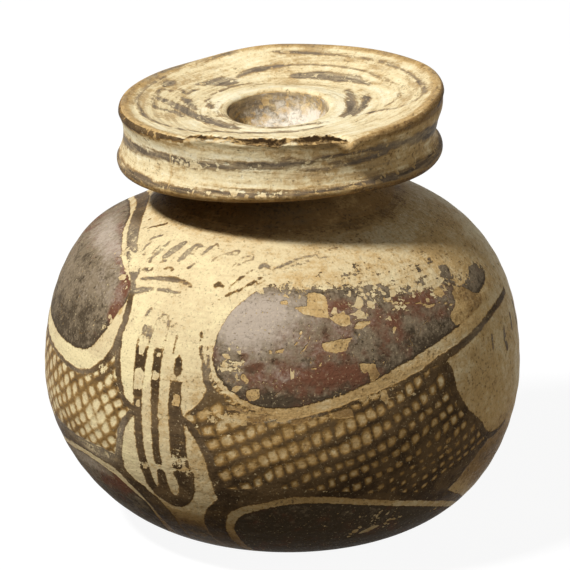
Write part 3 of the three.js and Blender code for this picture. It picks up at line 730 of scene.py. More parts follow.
def paint_body(wall):
    """The fields of the ornament over the body's outside."""
    leaves = [LEAF_UPPER_LEFT, LEAF_UPPER_RIGHT, LEAF_LOWER_LEFT, LEAF_LOWER_RIGHT]
    grounds = [GROUND_LEFT, GROUND_RIGHT, BUD_FOOT]
    lines = [wall.area(outline) for outline in grounds]
    lines += [wall.area(outline, smooth=False) for outline in BUD_STRIPES]
    lines += [wall.stroke(line) for line in LINES]
    bare = [wall.area(outline, smooth=False) for outline in FLAKES]
    bare += [wall.stroke(line) for line in CRACKS]
    rows, columns = net_rows(wall)
    # The soil field carries soil stains and painted shade; the haze field carries a pale film and painted
    # sheen.
    return {
        "paint": wall.union(lines),
        "leaf": wall.union(wall.area(outline) for outline in leaves),
        "net": wall.union([wall.area(NET_LEFT), wall.area(NET_RIGHT)]),
        "net_row": rows,
        "net_column": columns,
        "bare": wall.union(bare),
        "worn": np.minimum(wall.spots(WORN), WORN_LIMIT),
        "red": wall.spots(RED),
        "soil_and_shade": wall.spots(SOIL_AND_SHADE) + TOP_PAINTED_SHADE * smooth_step(wall.length, *TOP_PAINTED_SHADE_FROM)[:, None],
        "thin": wall.spots(THIN),
        "haze_and_sheen": wall.spots(HAZE_AND_SHEEN),
        "lime_and_light": np.zeros(wall.shape),
        "broken": np.zeros(wall.shape),
    }


EMPTY = {
    "paint": -FAR, "leaf": -FAR, "net": -FAR, "net_row": 0, "net_column": 0,
    "bare": -FAR, "worn": 0, "red": 0, "soil_and_shade": 0, "thin": 0, "haze_and_sheen": 0, "lime_and_light": 0, "broken": 0,
}


def make_body(material):
    azimuth = body_azimuths()
    dimple = bezier((0, DIMPLE_DEPTH), (DIMPLE_RADIUS / 2, DIMPLE_DEPTH), (DIMPLE_RADIUS, 0))
    ring = np.array([(DIMPLE_RADIUS, 0), (BASE_RADIUS, 0)])
    base = spaced(chain(dimple, ring), BASE_SPACING)[1:-1]
    outside = spaced(body_outside(), BODY_SPACING)
    inside = body_inside()[1:]
    profile = np.concatenate([base, outside, inside])
    length = np.zeros(len(profile))
    painted = slice(len(base), len(base) + len(outside))
    length[painted] = run_lengths(outside)
    points = thrown(turned(profile[:, 0], profile[:, 1], azimuth), length, azimuth)

    count = len(azimuth)
    tips = np.array([(0, 0, DIMPLE_DEPTH), (0, 0, CAVITY_FLOOR)], float)
    tips[0, :2] += points[0, :, :2].mean(axis=0)
    tips[1, :2] += points[-1, :, :2].mean(axis=0)
    rows = len(profile)
    faces = ring_faces(rows, count, False)
    faces += fan_faces(0, count, rows * count, True)
    faces += fan_faces((rows - 1) * count, count, rows * count + 1, False)
    vertices = np.concatenate([points.reshape(-1, 3), tips])
    piece = new_piece("flask_body", vertices, faces, material, "painted_body", "body")

    wall = Wall(wrapped(azimuth), length[painted], outside[:, 0])
    fields = {}
    for name, values in paint_body(wall).items():
        whole = np.full((rows, count), float(EMPTY[name]))
        whole[painted] = values
        fields[name] = np.concatenate([whole.ravel(), [EMPTY[name]] * 2])
    store(piece, **fields)
    return piece


# Mouth disc
DISC_COLUMNS = 440
DISC_SHIFT = -0.35
MOUTH_SHIFT = -0.35
DISC_SPACINGS = (0.7, 0.2, 0.1, 0.25, 0.3, 0.6)
FUNNEL_BULGE = (0.8, 0.4)
# Faults of the lip and rim: where they lie in degrees round the disc, and their size in mm
BACK_ZONE = (70, 115, 205, 250)
BACK_RISE = 0.9
LIP_WAVE = 0.14
LIP_REACH = 0.1
SPUR = 52
SPUR_DROOP = 0.5
SPUR_REACH = 0.6
RIGHT_SIDE = 108
RIGHT_WIDTH = 40
RIGHT_SWELL = 0.55
RIGHT_HOLLOW = 0.75
FOOT_ZONE = (-55, 30, 40, 96)
FOOT_RISE = 0.68
COLLAR_RADIUS = 9.2
COLLAR_RISE = 0.45
COLLAR_TOWARDS = -153
PINCH_FRONT = 0.2
PINCH_SIDES = 0.9
BREAK_RADIUS = 21.8
DISH_AT_BREAK = 64.18
TOP_EDGE_WAVE = 0.14
LOW_EDGE_WAVE = 0.08
FACE_WAVES = (0.35, 0.15)
RING_DEPTH = 0.07
RING_WIDTH = 0.22
# Pale lumps on the break, as (azimuth, half width, size)
LUMPS = [(31, 2.4, 1), (5, 3, 0.6)]
# The break in the front lip, as (azimuth, height of the broken edge, height of the rim below it)
BREAK = [
    (-10, 64.2, 64.3), (-8.5, 64.45, 64.35), (-6, 64.8, 64.35), (2, 65.1, 64.5), (9, 64.9, 64.7),
    (12.5, 64.7, 64.6), (16, 64.9, 64.35), (22, 65, 64.2), (26, 64.85, 64.05), (30, 65.05, 64.15),
    (34, 64.85, 64.05), (39, 65, 63.95), (43, 64.85, 63.9), (46, 64.6, 63.8), (49, 64.15, 63.7),
    (51, 63.75, 63.6), (52.5, 63.5, 63.5),
]


def disc_profile():
    """The section of the disc as a loop, with the row numbers where each of its stretches begins."""
    rim_low = RIM_FOOT + RIM_FOOT_ROUND
    rim_high = LIP_TOP - LIP_ROUND
    dish_edge = LIP_RADIUS - LIP_ROUND
    waist = waist_control(RIM_WAIST_RADIUS, DISC_RADIUS, LIP_RADIUS)
    under = chain(
        np.array([(BORE_RADIUS, DISC_SEAT), (DISC_SEAT_RADIUS, DISC_SEAT)]),
        bezier(
            (DISC_SEAT_RADIUS, DISC_SEAT),
            ((DISC_SEAT_RADIUS + DISC_RADIUS) / 2, RIM_FOOT),
            (DISC_RADIUS - RIM_FOOT_ROUND, RIM_FOOT),
        ),
    )
    rim = chain(
        bezier((DISC_RADIUS - RIM_FOOT_ROUND, RIM_FOOT), (DISC_RADIUS, RIM_FOOT), (DISC_RADIUS, rim_low)),
        bezier((DISC_RADIUS, rim_low), (waist, (rim_low + rim_high) / 2), (LIP_RADIUS, rim_high)),
    )
    lip = bezier((LIP_RADIUS, rim_high), (LIP_RADIUS, LIP_TOP), (dish_edge, LIP_TOP))
    dish = bezier(
        (dish_edge, LIP_TOP),
        ((dish_edge + MOUTH_RADIUS) / 2, MOUTH_TOP),
        (MOUTH_RADIUS + MOUTH_ROUND, MOUTH_TOP),
    )
    funnel = chain(
        bezier(
            (MOUTH_RADIUS + MOUTH_ROUND, MOUTH_TOP),
            (MOUTH_RADIUS, MOUTH_TOP),
            (MOUTH_RADIUS, MOUTH_TOP - MOUTH_ROUND),
        ),
        bezier(
            (MOUTH_RADIUS, MOUTH_TOP - MOUTH_ROUND),
            (MOUTH_RADIUS - FUNNEL_BULGE[0], FUNNEL_FOOT + FUNNEL_BULGE[1]),
            (BORE_RADIUS, FUNNEL_FOOT),
        ),
    )
    bore = np.array([(BORE_RADIUS, FUNNEL_FOOT), (BORE_RADIUS, DISC_SEAT)])
    stretches = (under, rim, lip, dish, funnel, bore)
    pieces = [spaced(stretch, spacing) for stretch, spacing in zip(stretches, DISC_SPACINGS)]
    starts = np.cumsum([0] + [len(piece) - 1 for piece in pieces])
    return chain(*pieces)[:-1], starts


def round_values(azimuth, periods, size):
    return ripple(azimuth, periods, size)[None, :]


def chipped(radius, height, azimuth):
    """The worn lip: higher at the back, broken along the front, and bent out to a spur at the break's end."""
    around = wrapped(azimuth)[None, :]
    r = np.repeat(radius[:, None], len(azimuth), axis=1)
    z = np.repeat(height[:, None], len(azimuth), axis=1)
    lip = smooth_step(r, 19.5, 22.5) * smooth_step(z, 61.5, 63.5)
    z += BACK_RISE * between(around % 360, *BACK_ZONE) * smooth_step(r, 12, 22) * smooth_step(z, 57, 63.5)
    z += lip * round_values(azimuth, [3, 5, 9], LIP_WAVE)
    r += lip * round_values(azimuth, [4, 7, 13], LIP_REACH)
    droop = hump(around, SPUR, np.where(around > SPUR, 8, 5))
    z -= SPUR_DROOP * droop * lip * smooth_step(r, 20.5, 23.2)
    r += SPUR_REACH * hump(around, SPUR, 2.8) * lip
    right = hump(around, RIGHT_SIDE, RIGHT_WIDTH) * smooth_step(r, 21.5, 22.3)
    r += right * (RIGHT_SWELL * hump(z, 62.3, 1.6) - RIGHT_HOLLOW * hump(z, 57.7, 1.5))
    z += FOOT_RISE * between(around, *FOOT_ZONE) * smooth_step(r, 18, 22) * fading(z, 55, 57.5)
    collar = hump(r, COLLAR_RADIUS, 1.7) * smooth_step(z, 61, 61.8)
    z += COLLAR_RISE * collar * (0.5 + 0.5 * np.cos(np.radians(around - COLLAR_TOWARDS)))
    aside = np.radians(around) - VIEW_AZIMUTH
    pinch = PINCH_FRONT * (1 + np.cos(aside)) + PINCH_SIDES * np.sin(aside) ** 2
    r -= pinch * smooth_step(z, 57.6, 60) * fading(r, 8.6, 12)

    turn, edge_height, rim_height = np.array(BREAK).T
    broken = between(around, turn[0], turn[0] + 2, turn[-1] - 2, turn[-1])
    top_edge = np.interp(around, turn, edge_height) + round_values(azimuth, [47, 67, 89], TOP_EDGE_WAVE)
    low_edge = np.interp(around, turn, rim_height) + round_values(azimuth, [31, 53], LOW_EDGE_WAVE)
    upper = smooth_step(z, 61.5, 63)
    z += broken * (top_edge - DISH_AT_BREAK) * smooth_step(r, 15, BREAK_RADIUS) * upper
    past = r - BREAK_RADIUS - round_values(azimuth, [13, 29, 43], FACE_WAVES[0])
    past -= round_values(azimuth, [71, 97], FACE_WAVES[1])
    fall = 0.5 * smooth_step(past, 0, 0.22) + 0.5 * smooth_step(past, 0.1, 1.5)
    break_face = top_edge - (top_edge - low_edge) * fall
    struck = (past > 0) & (z > break_face) & (broken > 0.02)
    z = np.where(struck, break_face, z)
    for ring in WHEEL_RINGS:
        z -= RING_DEPTH * hump(r, ring, RING_WIDTH) * smooth_step(z, 61.5, 62)
    # The colour field of the break face: dark broken clay, strongest near its top edge as painted shade in
    # the undercut.
    face = smooth_step(past, 0.03, 0.12) * smooth_step(z, low_edge - 0.35, low_edge - 0.05)
    lump = sum(size * hump(around, place, width) for place, width, size in LUMPS)
    face *= (1 - 0.45 * smooth_step(past, 0.4, 1.3)) * (1 - 0.5 * lump)
    return r, z, broken * face * (0.75 + 0.25 * smooth_step(around, 8, 16))


# Paint on the disc, as (azimuth, height up the rim or radius on the top, width)
RIM_LINES = [
    # The dark band under the lip: paint, and painted shadow of the lip's overhang.
    [(-180, 63.6, 0.8), (-120, 63.6, 0.9), (-75, 63.7, 0.9), (-45, 63.9, 0.8), (-28, 63.95, 0.8),
     (-17, 64, 0.7), (-9, 64.1, 0.4)],
    [(100, 63.4, 0.6), (140, 63.5, 0.7), (180, 63.5, 0.8)],
    [(-180, 60.6, 1.3), (-110, 60.3, 1.3), (-60, 59.9, 1.3), (-50, 59.9, 1.3), (-37, 60.3, 1.4),
     (-26, 60.7, 1.3), (-18, 60.8, 1.2), (-6, 60.7, 1.2), (7, 60.9, 1.2), (16, 61, 1.2), (25, 61.1, 1.2),
     (34, 61.2, 1), (38, 61.3, 0.5)],
    [(34, 61.1, 0.5), (40, 61.5, 0.35), (46, 61.6, 0.4), (54, 61.7, 0.4), (62, 61.7, 0.6), (68, 61.5, 1),
     (76, 61.2, 1.3), (86, 60.6, 1.6), (96, 60.2, 1.7), (117, 59.6, 1.5), (150, 60.3, 1.3),
     (180, 60.6, 1.3)],
    [(34, 60.5, 0.5), (42, 60.1, 0.35), (48, 60.2, 0.4), (54, 60.2, 0.4), (61, 60.5, 0.6), (68, 60.7, 0.9)],
    [(44, 60.8, 0.2), (52, 60.9, 0.2), (60, 61.1, 0.2)],
    [(-180, 56.6, 0.9), (-90, 56.6, 1), (-47, 56.7, 1.1), (-29, 56.6, 1.2), (-16, 56.6, 1), (2, 57, 1),
     (21, 57, 1.1), (30, 56.9, 0.9), (42, 57, 0.5), (53, 57, 0.6), (58, 57.1, 1), (64, 57, 1.4),
     (72, 56.7, 1.1), (84, 56.7, 1.2), (99, 56.5, 1.2), (140, 56.6, 1), (180, 56.6, 0.9)],
]
RIM_CRACK = [
    (-16.2, 63, 0.1), (-15.8, 61.8, 0.25), (-16.2, 60.4, 0.25), (-15.6, 58.5, 0.3), (-15.2, 56.6, 0.3),
]
WHEEL_RINGS = [10.9, 12.6, 15.6, 17.9, 20.2, 21.2]
TOP_LINES = [
    [(-142, 12.6, 0.2), (-126, 13.3, 0.3), (-112, 12.8, 0.35), (-100, 12.3, 0.35), (-90, 11.5, 0.35),
     (-69, 10.1, 0.4), (-46, 9.2, 0.35), (-20, 9.1, 0.3), (0, 9.2, 0.3), (20, 9.4, 0.3), (36, 9.5, 0.3),
     (54, 9.6, 0.3), (69, 10.5, 0.3)],
    [(-78, 18.6, 1.2), (-74, 16.1, 1.8), (-64, 13.4, 1.9), (-46, 11.5, 1.6), (-20, 10.7, 1.2),
     (-7, 10.6, 0.5)],
    [(-76, 19, 0.5), (-66, 18.2, 0.7), (-62, 16.8, 0.9), (-60, 14.9, 1.2), (-53, 14.3, 0.8)],
    [(-93, 19.6, 0.6), (-97, 19.6, 1.6), (-100, 19.6, 0.6)],
    [(-80, 18.6, 0.3), (-88, 19.3, 0.4), (-91, 17.7, 0.4), (-96, 17.2, 0.3), (-92, 15.5, 0.5),
     (-98, 15.7, 0.5), (-102, 15.3, 0.4)],
    [(-86, 15.3, 0.6), (-82, 13.8, 1.4), (-68, 11.9, 0.6)],
    [(-104, 17.3, 0.3), (-113, 16.2, 1.6), (-119, 15.6, 2.8), (-124, 15, 2.4), (-127, 14.6, 1)],
    [(-130, 15.9, 0.6), (-138, 16.9, 1), (-144, 17, 1), (-150, 17.2, 0.8), (-158, 17.3, 0.5)],
    [(-100, 21.2, 0.4), (-71, 21, 0.6), (-57, 20.3, 0.6), (-42, 19.7, 0.6), (-29, 17.9, 0.5),
     (-18, 15.7, 0.5), (-10, 13, 0.6), (24, 11.5, 0.9), (42, 11.7, 0.7), (60, 11.4, 0.5)],
    [(-88, 22.2, 0.5), (-102, 22.4, 0.8), (-120, 22.4, 0.7), (-136, 22.1, 0.4)],
    [(-160, 14.6, 0.6), (-166, 14.7, 1.6), (-174, 14.8, 2.2), (-180, 14.9, 2.1)],
    [(180, 14.9, 2.1), (170, 15, 2.2), (163, 15.4, 2), (157, 15.2, 1.3), (148, 15.3, 0.5)],
    [(152, 12.3, 0.9), (140, 11.6, 1), (128, 11, 0.9), (112, 11, 1.2), (100, 11.2, 1.3), (88, 11.2, 0.8)],
    [(134, 13, 0.5), (126, 12.9, 0.9), (118, 12.3, 1.1), (102, 11.9, 1.2), (92, 11.8, 0.8)],
    [(92, 12.3, 0.4), (96, 13.6, 0.6), (99, 15.5, 0.6), (97, 17.3, 0.5), (100, 19.3, 0.6),
     (103, 20.3, 0.5)],
    [(180, 17.6, 0.3), (169, 17.5, 0.25), (160, 17.4, 0.15), (146, 17.2, 0.1), (134, 17.4, 0.1),
     (121, 17.2, 0.2), (110, 16.6, 0.2), (106, 15.5, 0.15)],
    [(145, 20, 0.2), (138, 20.1, 0.4), (131, 20.2, 0.5), (118, 20.6, 0.45), (106, 20.6, 0.4),
     (102, 19.3, 0.3)],
    [(-150, 20.9, 0.3), (-156, 20.6, 0.3), (-166, 20.3, 0.35), (-180, 20.2, 0.3)],
    [(180, 20.2, 0.3), (171, 20.3, 0.3), (160, 20.2, 0.3), (144, 20.1, 0.35)],
    [(-158, 17.3, 0.3), (-170, 17.5, 0.35), (-180, 17.6, 0.3)],
    [(-88, 9.9, 0.1), (-74, 9.8, 0.25), (-60, 9.7, 0.25), (-44, 9.9, 0.1)],
]
RIM_WORN = [
    (-6, 60.7, 1.6, 0.8, 0.4), (-12, 60.7, 2.6, 0.8, 0.25), (0, 56.6, 14, 0.8, 0.15), (36, 61, 5, 1, 0.2),
    (40, 57, 10, 1, 0.25),
]


# Wear, thinness, soil, and painted light and shade of the disc
LIP_ROWS = 10
MOUTH_ROWS = 6
RIM_WEAR = 0.14
TOP_WEAR = 0.18
RIM_THIN = 0.4
TOP_THIN = 0.44
LIP_SOIL = 0.42
CHIP_CLEAN = 0.3
CHIP_CENTRE = 22
CHIP_WIDTH = 34
UNDER_CHIP_PAINTED_SHADOW = 0.4
RIM_SOIL = 0.04
RIM_FOOT_SOIL_AND_SHADE = 0.8
RIM_RIGHT_DARKENING = 0.28
BAND_PAINTED_LIGHT = 0.25
TOP_TINT = 0.01
RING_CLEAN = 0.2
UNDERSIDE_PAINTED_SHADE = 1.5
UNDERSIDE_ROWS = 6
BOWL_PAINT = 0.3
# Azimuths in the bowl of its lit side, its dim side and its shaded side, for painted light and shade.
BOWL_LIT = 160
BOWL_DIM = -80
BOWL_SHADED_SIDE = -75


def paint_disc(profile, starts, azimuth, r, z):
    """The fields of the bands and rings, of wear, and of soil, painted light and painted shade over the disc.
    """
    radius, height = profile.T
    fields = {name: np.full(r.shape, float(value)) for name, value in EMPTY.items()}
    rim = slice(starts[1], starts[2] + LIP_ROWS)
    top = slice(starts[2] + LIP_ROWS, starts[4] + MOUTH_ROWS)
    rim_wall = Wall(azimuth, height[rim], radius[rim])
    top_wall = Wall(azimuth, radius[top], radius[top])
    fields["paint"][rim] = rim_wall.union(rim_wall.stroke(line) for line in RIM_LINES)
    fields["paint"][top] = top_wall.union(top_wall.stroke(line) for line in TOP_LINES)
    fields["bare"][rim] = rim_wall.stroke(RIM_CRACK)
    fields["worn"][rim] = RIM_WEAR + rim_wall.spots(RIM_WORN)
    fields["worn"][top] = TOP_WEAR
    # The paint turns darker under the lip, as painted shadow of the lip's overhang.
    under_lip_paint_and_shade = smooth_step(height[rim], 62.3, 63)
    lower_band = fading(height[rim], 57.4, 58.4)
    fields["thin"][rim] = (RIM_THIN - 0.7 * under_lip_paint_and_shade - 0.1 * lower_band)[:, None]
    fields["thin"][top] = TOP_THIN

    soil_and_shade = fields["soil_and_shade"]
    around = np.broadcast_to(wrapped(azimuth)[None, :], r.shape)
    chip = np.exp(-(((around - CHIP_CENTRE) / CHIP_WIDTH) ** 4))
    lip_wear = smooth_step(r, 21.2, 22.4) * smooth_step(z, 62.6, 63.4)
    soil_and_shade += lip_wear * (LIP_SOIL * (1 - chip) - CHIP_CLEAN * chip)
    # Painted shadow of the broken lip on the rim wall just below it.
    soil_and_shade[rim] += UNDER_CHIP_PAINTED_SHADOW * (hump(z, 63.4, 0.9) * chip)[rim]
    # A faint soil over the rim, and at its foot soil with painted shade on the lower edge.
    soil_and_shade[rim] += RIM_SOIL + RIM_FOOT_SOIL_AND_SHADE * fading(z[rim], 55.6, 57.4)
    # The rim darker towards its right side.
    soil_and_shade[rim] += RIM_RIGHT_DARKENING * smooth_step(around[rim], 15, 75)
    # Painted light: the rim's waist at the front left is lightened against the lip's shadow.
    soil_and_shade[rim] -= BAND_PAINTED_LIGHT * hump(z[rim], 62, 1) * fading(around[rim], 20, 60)
    soil_and_shade[top] += (TOP_TINT - RING_CLEAN * between(r, 8.4, 9, 10.6, 11.6))[top]
    # Painted shade: the underside of the disc, over the neck, is darkened.
    soil_and_shade[:starts[1] + UNDERSIDE_ROWS] += UNDERSIDE_PAINTED_SHADE

    inside = between(height, 57.4, 57.6, 61.8, 62.05) * (radius < 8.9)
    bowl = np.broadcast_to(inside[:, None], r.shape)
    in_bowl = bowl > BOWL_PAINT
    # In the bowl, the side that the lamp lights gets more lime and wear, as painted light, and the side away
    # from it more paint and soil, as painted shade.
    low = fading(z, 59, 61)
    lit = hump(wrapped(azimuth - BOWL_LIT)[None, :], 0, 75)
    dim = hump(wrapped(azimuth - BOWL_DIM)[None, :], 0, 48)
    shaded_side = hump(wrapped(azimuth - BOWL_SHADED_SIDE)[None, :], 0, 40)
    soil_and_shade += bowl * (0.3 + 0.4 * shaded_side)
    fields["lime_and_light"] = bowl * (0.35 + 0.5 * lit) * (0.46 + 0.42 * low)
    fields["paint"] = np.where(in_bowl, np.maximum(fields["paint"], BOWL_PAINT), fields["paint"])
    fields["worn"] = np.where(in_bowl, 0.34 + 0.2 * low + 0.1 * lit - 0.25 * dim, fields["worn"])
    fields["thin"] = np.where(in_bowl, 0.74 - 0.28 * dim, fields["thin"])
    return fields


def make_disc(material):
    azimuth = np.linspace(-180, 180, DISC_COLUMNS, endpoint=False)
    profile, starts = disc_profile()
    r, z, fracture_and_shade = chipped(profile[:, 0], profile[:, 1], azimuth)
    angle = np.radians(azimuth)[None, :]
    points = np.stack([r * np.sin(angle), -r * np.cos(angle), z], axis=2)
    inner = fading(r, 11, 20) * smooth_step(z, 57.6, 60)
    points[..., :2] += (DISC_SHIFT + MOUTH_SHIFT * inner)[..., None] * VIEW_RIGHT
    faces = ring_faces(len(profile), DISC_COLUMNS, True)
    piece = new_piece("flask_disc", leant(points), faces, material, "banded_disc", "mouth_disc")
    fields = paint_disc(profile, starts, azimuth, r, z)
    fields["broken"] = fracture_and_shade
    store(piece, **fields)
    return piece


# Neck and the clay smeared round its ends
PLAIN_COLUMNS = 160
PLAIN_SPACING = 0.3
NECK_OVERLAP = 0.2
COIL_BACK = 0.6
FOOT_SMEAR_REACH = 2.6
FOOT_SMEAR_SINK = 1.6
FOOT_SMEAR_HEIGHT = 3.6
TOP_SMEAR_REACH = 0.4
TOP_SMEAR_SINK = 0.1
TOP_SMEAR_HEIGHT = -1.9


def make_turned(name, outline, material, slot, node, settled=False):
    """A piece thrown on the wheel from a closed outline, leaning with the disc or settled on to the body."""
    profile = spaced(outline, PLAIN_SPACING)[:-1]
    azimuth = np.linspace(-180, 180, PLAIN_COLUMNS, endpoint=False)
    points = turned(profile[:, 0], profile[:, 1], azimuth)
    if settled:
        points = thrown(points, np.zeros(len(profile)), azimuth)
    return new_piece(name, leant(points), ring_faces(len(profile), PLAIN_COLUMNS, True), material, slot, node)


def make_neck(material):
    control = waist_control(NECK_WAIST_RADIUS, NECK_FOOT_RADIUS, NECK_TOP_RADIUS)
    foot = NECK_FOOT - NECK_OVERLAP
    top = NECK_TOP + NECK_OVERLAP
    waist = bezier((NECK_FOOT_RADIUS, foot), (control, (foot + top) / 2), (NECK_TOP_RADIUS, top))
    bore = [(NECK_TOP_RADIUS, top), (BORE_RADIUS, top), (BORE_RADIUS, foot), (NECK_FOOT_RADIUS, foot)]
    return make_turned("flask_neck", chain(waist, np.array(bore)), material, "bare_clay", "neck")


def make_coil(name, inner, outer, foot, height, material, node):
    """A hollow-cheeked fillet of clay on a seat, or hanging from it if its height is negative."""
    width = outer - inner
    standing = height > 0
    across, up = (0.41, 0.6) if standing else (0.25, 0.25)
    top = foot + height
    behind = inner - COIL_BACK
    cheek = bezier((outer, foot), (inner + across * width, foot + up * height), (inner, top))
    loop = chain(cheek, np.array([(inner, top), (behind, top), (behind, foot), (outer, foot)]))
    outline = loop if standing else loop[::-1]
    return make_turned(name, outline, material, "joint_clay", node, settled=standing)


# Strap handle and the clay smeared round its ends
SLOPE_STEP = 0.2
STRAP_STEPS = 70
STRAP_COLUMNS = 64
STRAP_SINK = 0.2
STRAP_REACH = 0.8
STRAP_GROOVE = 0.16
STRAP_TOP_SHARE = 0.25
STRAP_FOOT_SWELL = 0.15
MOUND_ROWS = 48
MOUND_COLUMNS = 96
MOUND_HEIGHT = 2.1
FOOT_MOUND_SPREAD = 0.6
FOOT_MOUND_BEND = 1.6


def shoulder_at(radius):
    """Height of the shoulder at a radius, and the tip of its normal from +Z."""
    outside = body_outside()
    upper = outside[outside[:, 1] >= BELLY_HEIGHT]
    height = np.interp(-radius, -upper[:, 0], upper[:, 1])
    ahead = np.interp(-radius + SLOPE_STEP, -upper[:, 0], upper[:, 1])
    return height, math.atan2(ahead - height, SLOPE_STEP)


def make_strap(material):
    """A ribbon swept from the rim to the shoulder, thinned out where it is smeared on to the rim."""
    height, _ = shoulder_at(STRAP_FOOT_RADIUS)
    top = np.array([0, DISC_RADIUS - STRAP_SINK, STRAP_TOP + STRAP_REACH])
    end = np.array([0, STRAP_FOOT_RADIUS, height - STRAP_HALF_THICKNESS])
    reach = np.array([0, 0, (top[2] - end[2]) / 3])
    bow = np.array([0, STRAP_BOW, 0])
    path = bezier(top, top + bow - reach, end + bow + reach, end, steps=STRAP_STEPS)
    along = np.gradient(path, axis=0)
    along /= np.linalg.norm(along, axis=1, keepdims=True)
    outwards = np.stack([np.zeros(len(path)), -along[:, 2], along[:, 1]], axis=1)
    turn = np.linspace(0, 2 * math.pi, STRAP_COLUMNS, endpoint=False)
    side = np.sign(np.cos(turn)) * np.abs(np.cos(turn)) ** 0.6
    face = np.sign(np.sin(turn)) * np.abs(np.sin(turn)) ** 0.7
    share = np.linspace(0, 1, len(path))
    width = STRAP_HALF_WIDTH * (1 + STRAP_FLARE * (2 * share - 1) ** 2)
    thinned = STRAP_TOP_SHARE + (1 - STRAP_TOP_SHARE) * smooth_step(share, 0, 0.22)
    depth = STRAP_HALF_THICKNESS * thinned * (1 + STRAP_FOOT_SWELL * smooth_step(share, 0.75, 1))
    groove = 1 - STRAP_GROOVE * np.cos(turn * 2) ** 2 * (np.abs(np.cos(turn)) < 0.75)
    points = path[:, None, :] + outwards[:, None, :] * (depth[:, None] * (face * groove)[None, :])[..., None]
    points[..., 0] += width[:, None] * side[None, :]
    rows, count = points.shape[:2]
    faces = [tuple(reversed(face)) for face in ring_faces(rows, count, False)]
    faces.append(tuple(range(count)))
    faces.append(tuple(reversed(range((rows - 1) * count, rows * count))))
    return new_piece("flask_strap", leant(points), faces, material, "bare_clay", "strap_handle")


def make_mound(name, radius, height, tip, spread, bend, material, node):
    """Clay smeared round an end of the strap and tipped to its wall. Above 1, the bend hollows it."""
    rows = MOUND_ROWS
    count = MOUND_COLUMNS
    polar = np.linspace(0, math.pi, rows + 2)[1:-1]
    turn = np.linspace(0, 2 * math.pi, count, endpoint=False)
    half_width = STRAP_HALF_WIDTH * (1 + STRAP_FLARE) + spread
    half_depth = STRAP_HALF_THICKNESS + SMEAR * math.sqrt(bend)
    out = np.sin(polar) ** bend
    rise = MOUND_HEIGHT * np.sign(np.cos(polar)) * np.abs(np.cos(polar)) ** bend
    uneven = 1 + 0.05 * np.cos(3 * turn + 0.5) + 0.03 * np.cos(7 * turn)
    x = half_width * out[:, None] * (np.cos(turn) * uneven)[None, :]
    y = half_depth * out[:, None] * (np.sin(turn) * uneven)[None, :]
    z = np.repeat(rise[:, None], count, axis=1)
    upright = math.cos(tip)
    tipped = math.sin(tip)
    tilted = np.stack([x, y * upright + z * tipped, z * upright - y * tipped], axis=2)
    tips = np.array([(0, tipped, upright), (0, -tipped, -upright)]) * MOUND_HEIGHT
    vertices = np.concatenate([tilted.reshape(-1, 3), tips]) + (0, radius, height)
    faces = [tuple(reversed(face)) for face in ring_faces(rows, count, False)]
    faces += fan_faces(0, count, rows * count, False)
    faces += fan_faces((rows - 1) * count, count, rows * count + 1, True)
    return new_piece(name, leant(vertices), faces, material, "joint_clay", node)


# Materials
def tone(red, green, blue):
    """A colour as it is seen, from 0 to 255, as the light that a shader reads."""
    seen = np.array([red, green, blue]) / 255
    light = np.where(seen <= 0.04045, seen / 12.92, ((seen + 0.055) / 1.055) ** 2.4)
    return (*light.tolist(), 1.0)


CREAM_BRIGHT = tone(243, 225, 175)
CREAM = tone(227, 206, 161)
# The disc's clay: less yellow than the body's, and lighter, partly as painted light on its top.
DISC_BRIGHT = tone(254, 242, 206)
DISC_CREAM = tone(241, 222, 176)
TAN = tone(201, 167, 112)
OCHRE = tone(152, 119, 74)
SOIL_AND_SHADE_BROWN = tone(84, 69, 52)
SLIP_DARK = tone(74, 58, 41)
SLIP_BROWN = tone(110, 88, 60)
SLIP_THIN = tone(168, 130, 74)
GREY_DARK = tone(100, 88, 74)
GREY_BROWN = tone(134, 119, 100)
GREY_THIN = tone(186, 166, 132)
LEAF_OLIVE = tone(137, 121, 98)
LEAF_DARK = tone(82, 70, 55)
LEAF_RED = tone(116, 77, 58)
HAZE_AND_SHEEN_GREY = tone(186, 170, 152)
LIME_AND_LIGHT_WHITE = tone(240, 230, 212)
BREAK_BROWN = tone(126, 100, 64)
BREAK_DARK_AND_SHADE = tone(58, 43, 27)
GLOSS = 0.005
PAINT_ROUGHNESS = 0.36
CLAY_ROUGHNESS = 0.45


class Graph:
    """Writes the nodes of a material or a world."""

    def __init__(self, owner):
        owner.use_nodes = True
        self.owner = owner
        self.tree = owner.node_tree
        self.tree.nodes.clear()

    def add(self, kind, inputs=None, **settings):
        node = self.tree.nodes.new(kind)
        for name, value in settings.items():
            setattr(node, name, value)
        for name, value in (inputs or {}).items():
            if isinstance(value, bpy.types.NodeSocket):
                self.tree.links.new(value, node.inputs[name])
            else:
                node.inputs[name].default_value = value
        return node

    def math(self, operation, a, b=0.0, clamp=False):
        return self.add("ShaderNodeMath", {0: a, 1: b}, operation=operation, use_clamp=clamp).outputs[0]

    def fold(self, operation, values):
        result = values[0]
        for value in values[1:]:
            result = self.math(operation, result, value)
        return result

    def times(self, *values):
        return self.fold("MULTIPLY", values)

    def most(self, *values):
        return self.fold("MAXIMUM", values)

    def total(self, *terms):
        """A sum of (socket, weight) pairs and plain numbers."""
        result = 0.0
        for term in terms:
            part = self.times(*term) if isinstance(term, tuple) else term
            result = self.math("ADD", part, result)
        return result

    def step(self, value, low, high):
        inputs = {"Value": value, "From Min": low, "From Max": high}
        return self.add("ShaderNodeMapRange", inputs, interpolation_type="SMOOTHSTEP").outputs[0]

    def mix(self, share, low, high):
        return self.add("ShaderNodeMix", {0: share, 6: low, 7: high}, data_type="RGBA").outputs[2]

    def pale_rays(self):
        """1 for rays that see the pale background: straight, off a gloss or through a clear surface."""
        rays = self.add("ShaderNodeLightPath").outputs
        return self.most(rays["Is Camera Ray"], rays["Is Glossy Ray"], rays["Is Transmission Ray"])


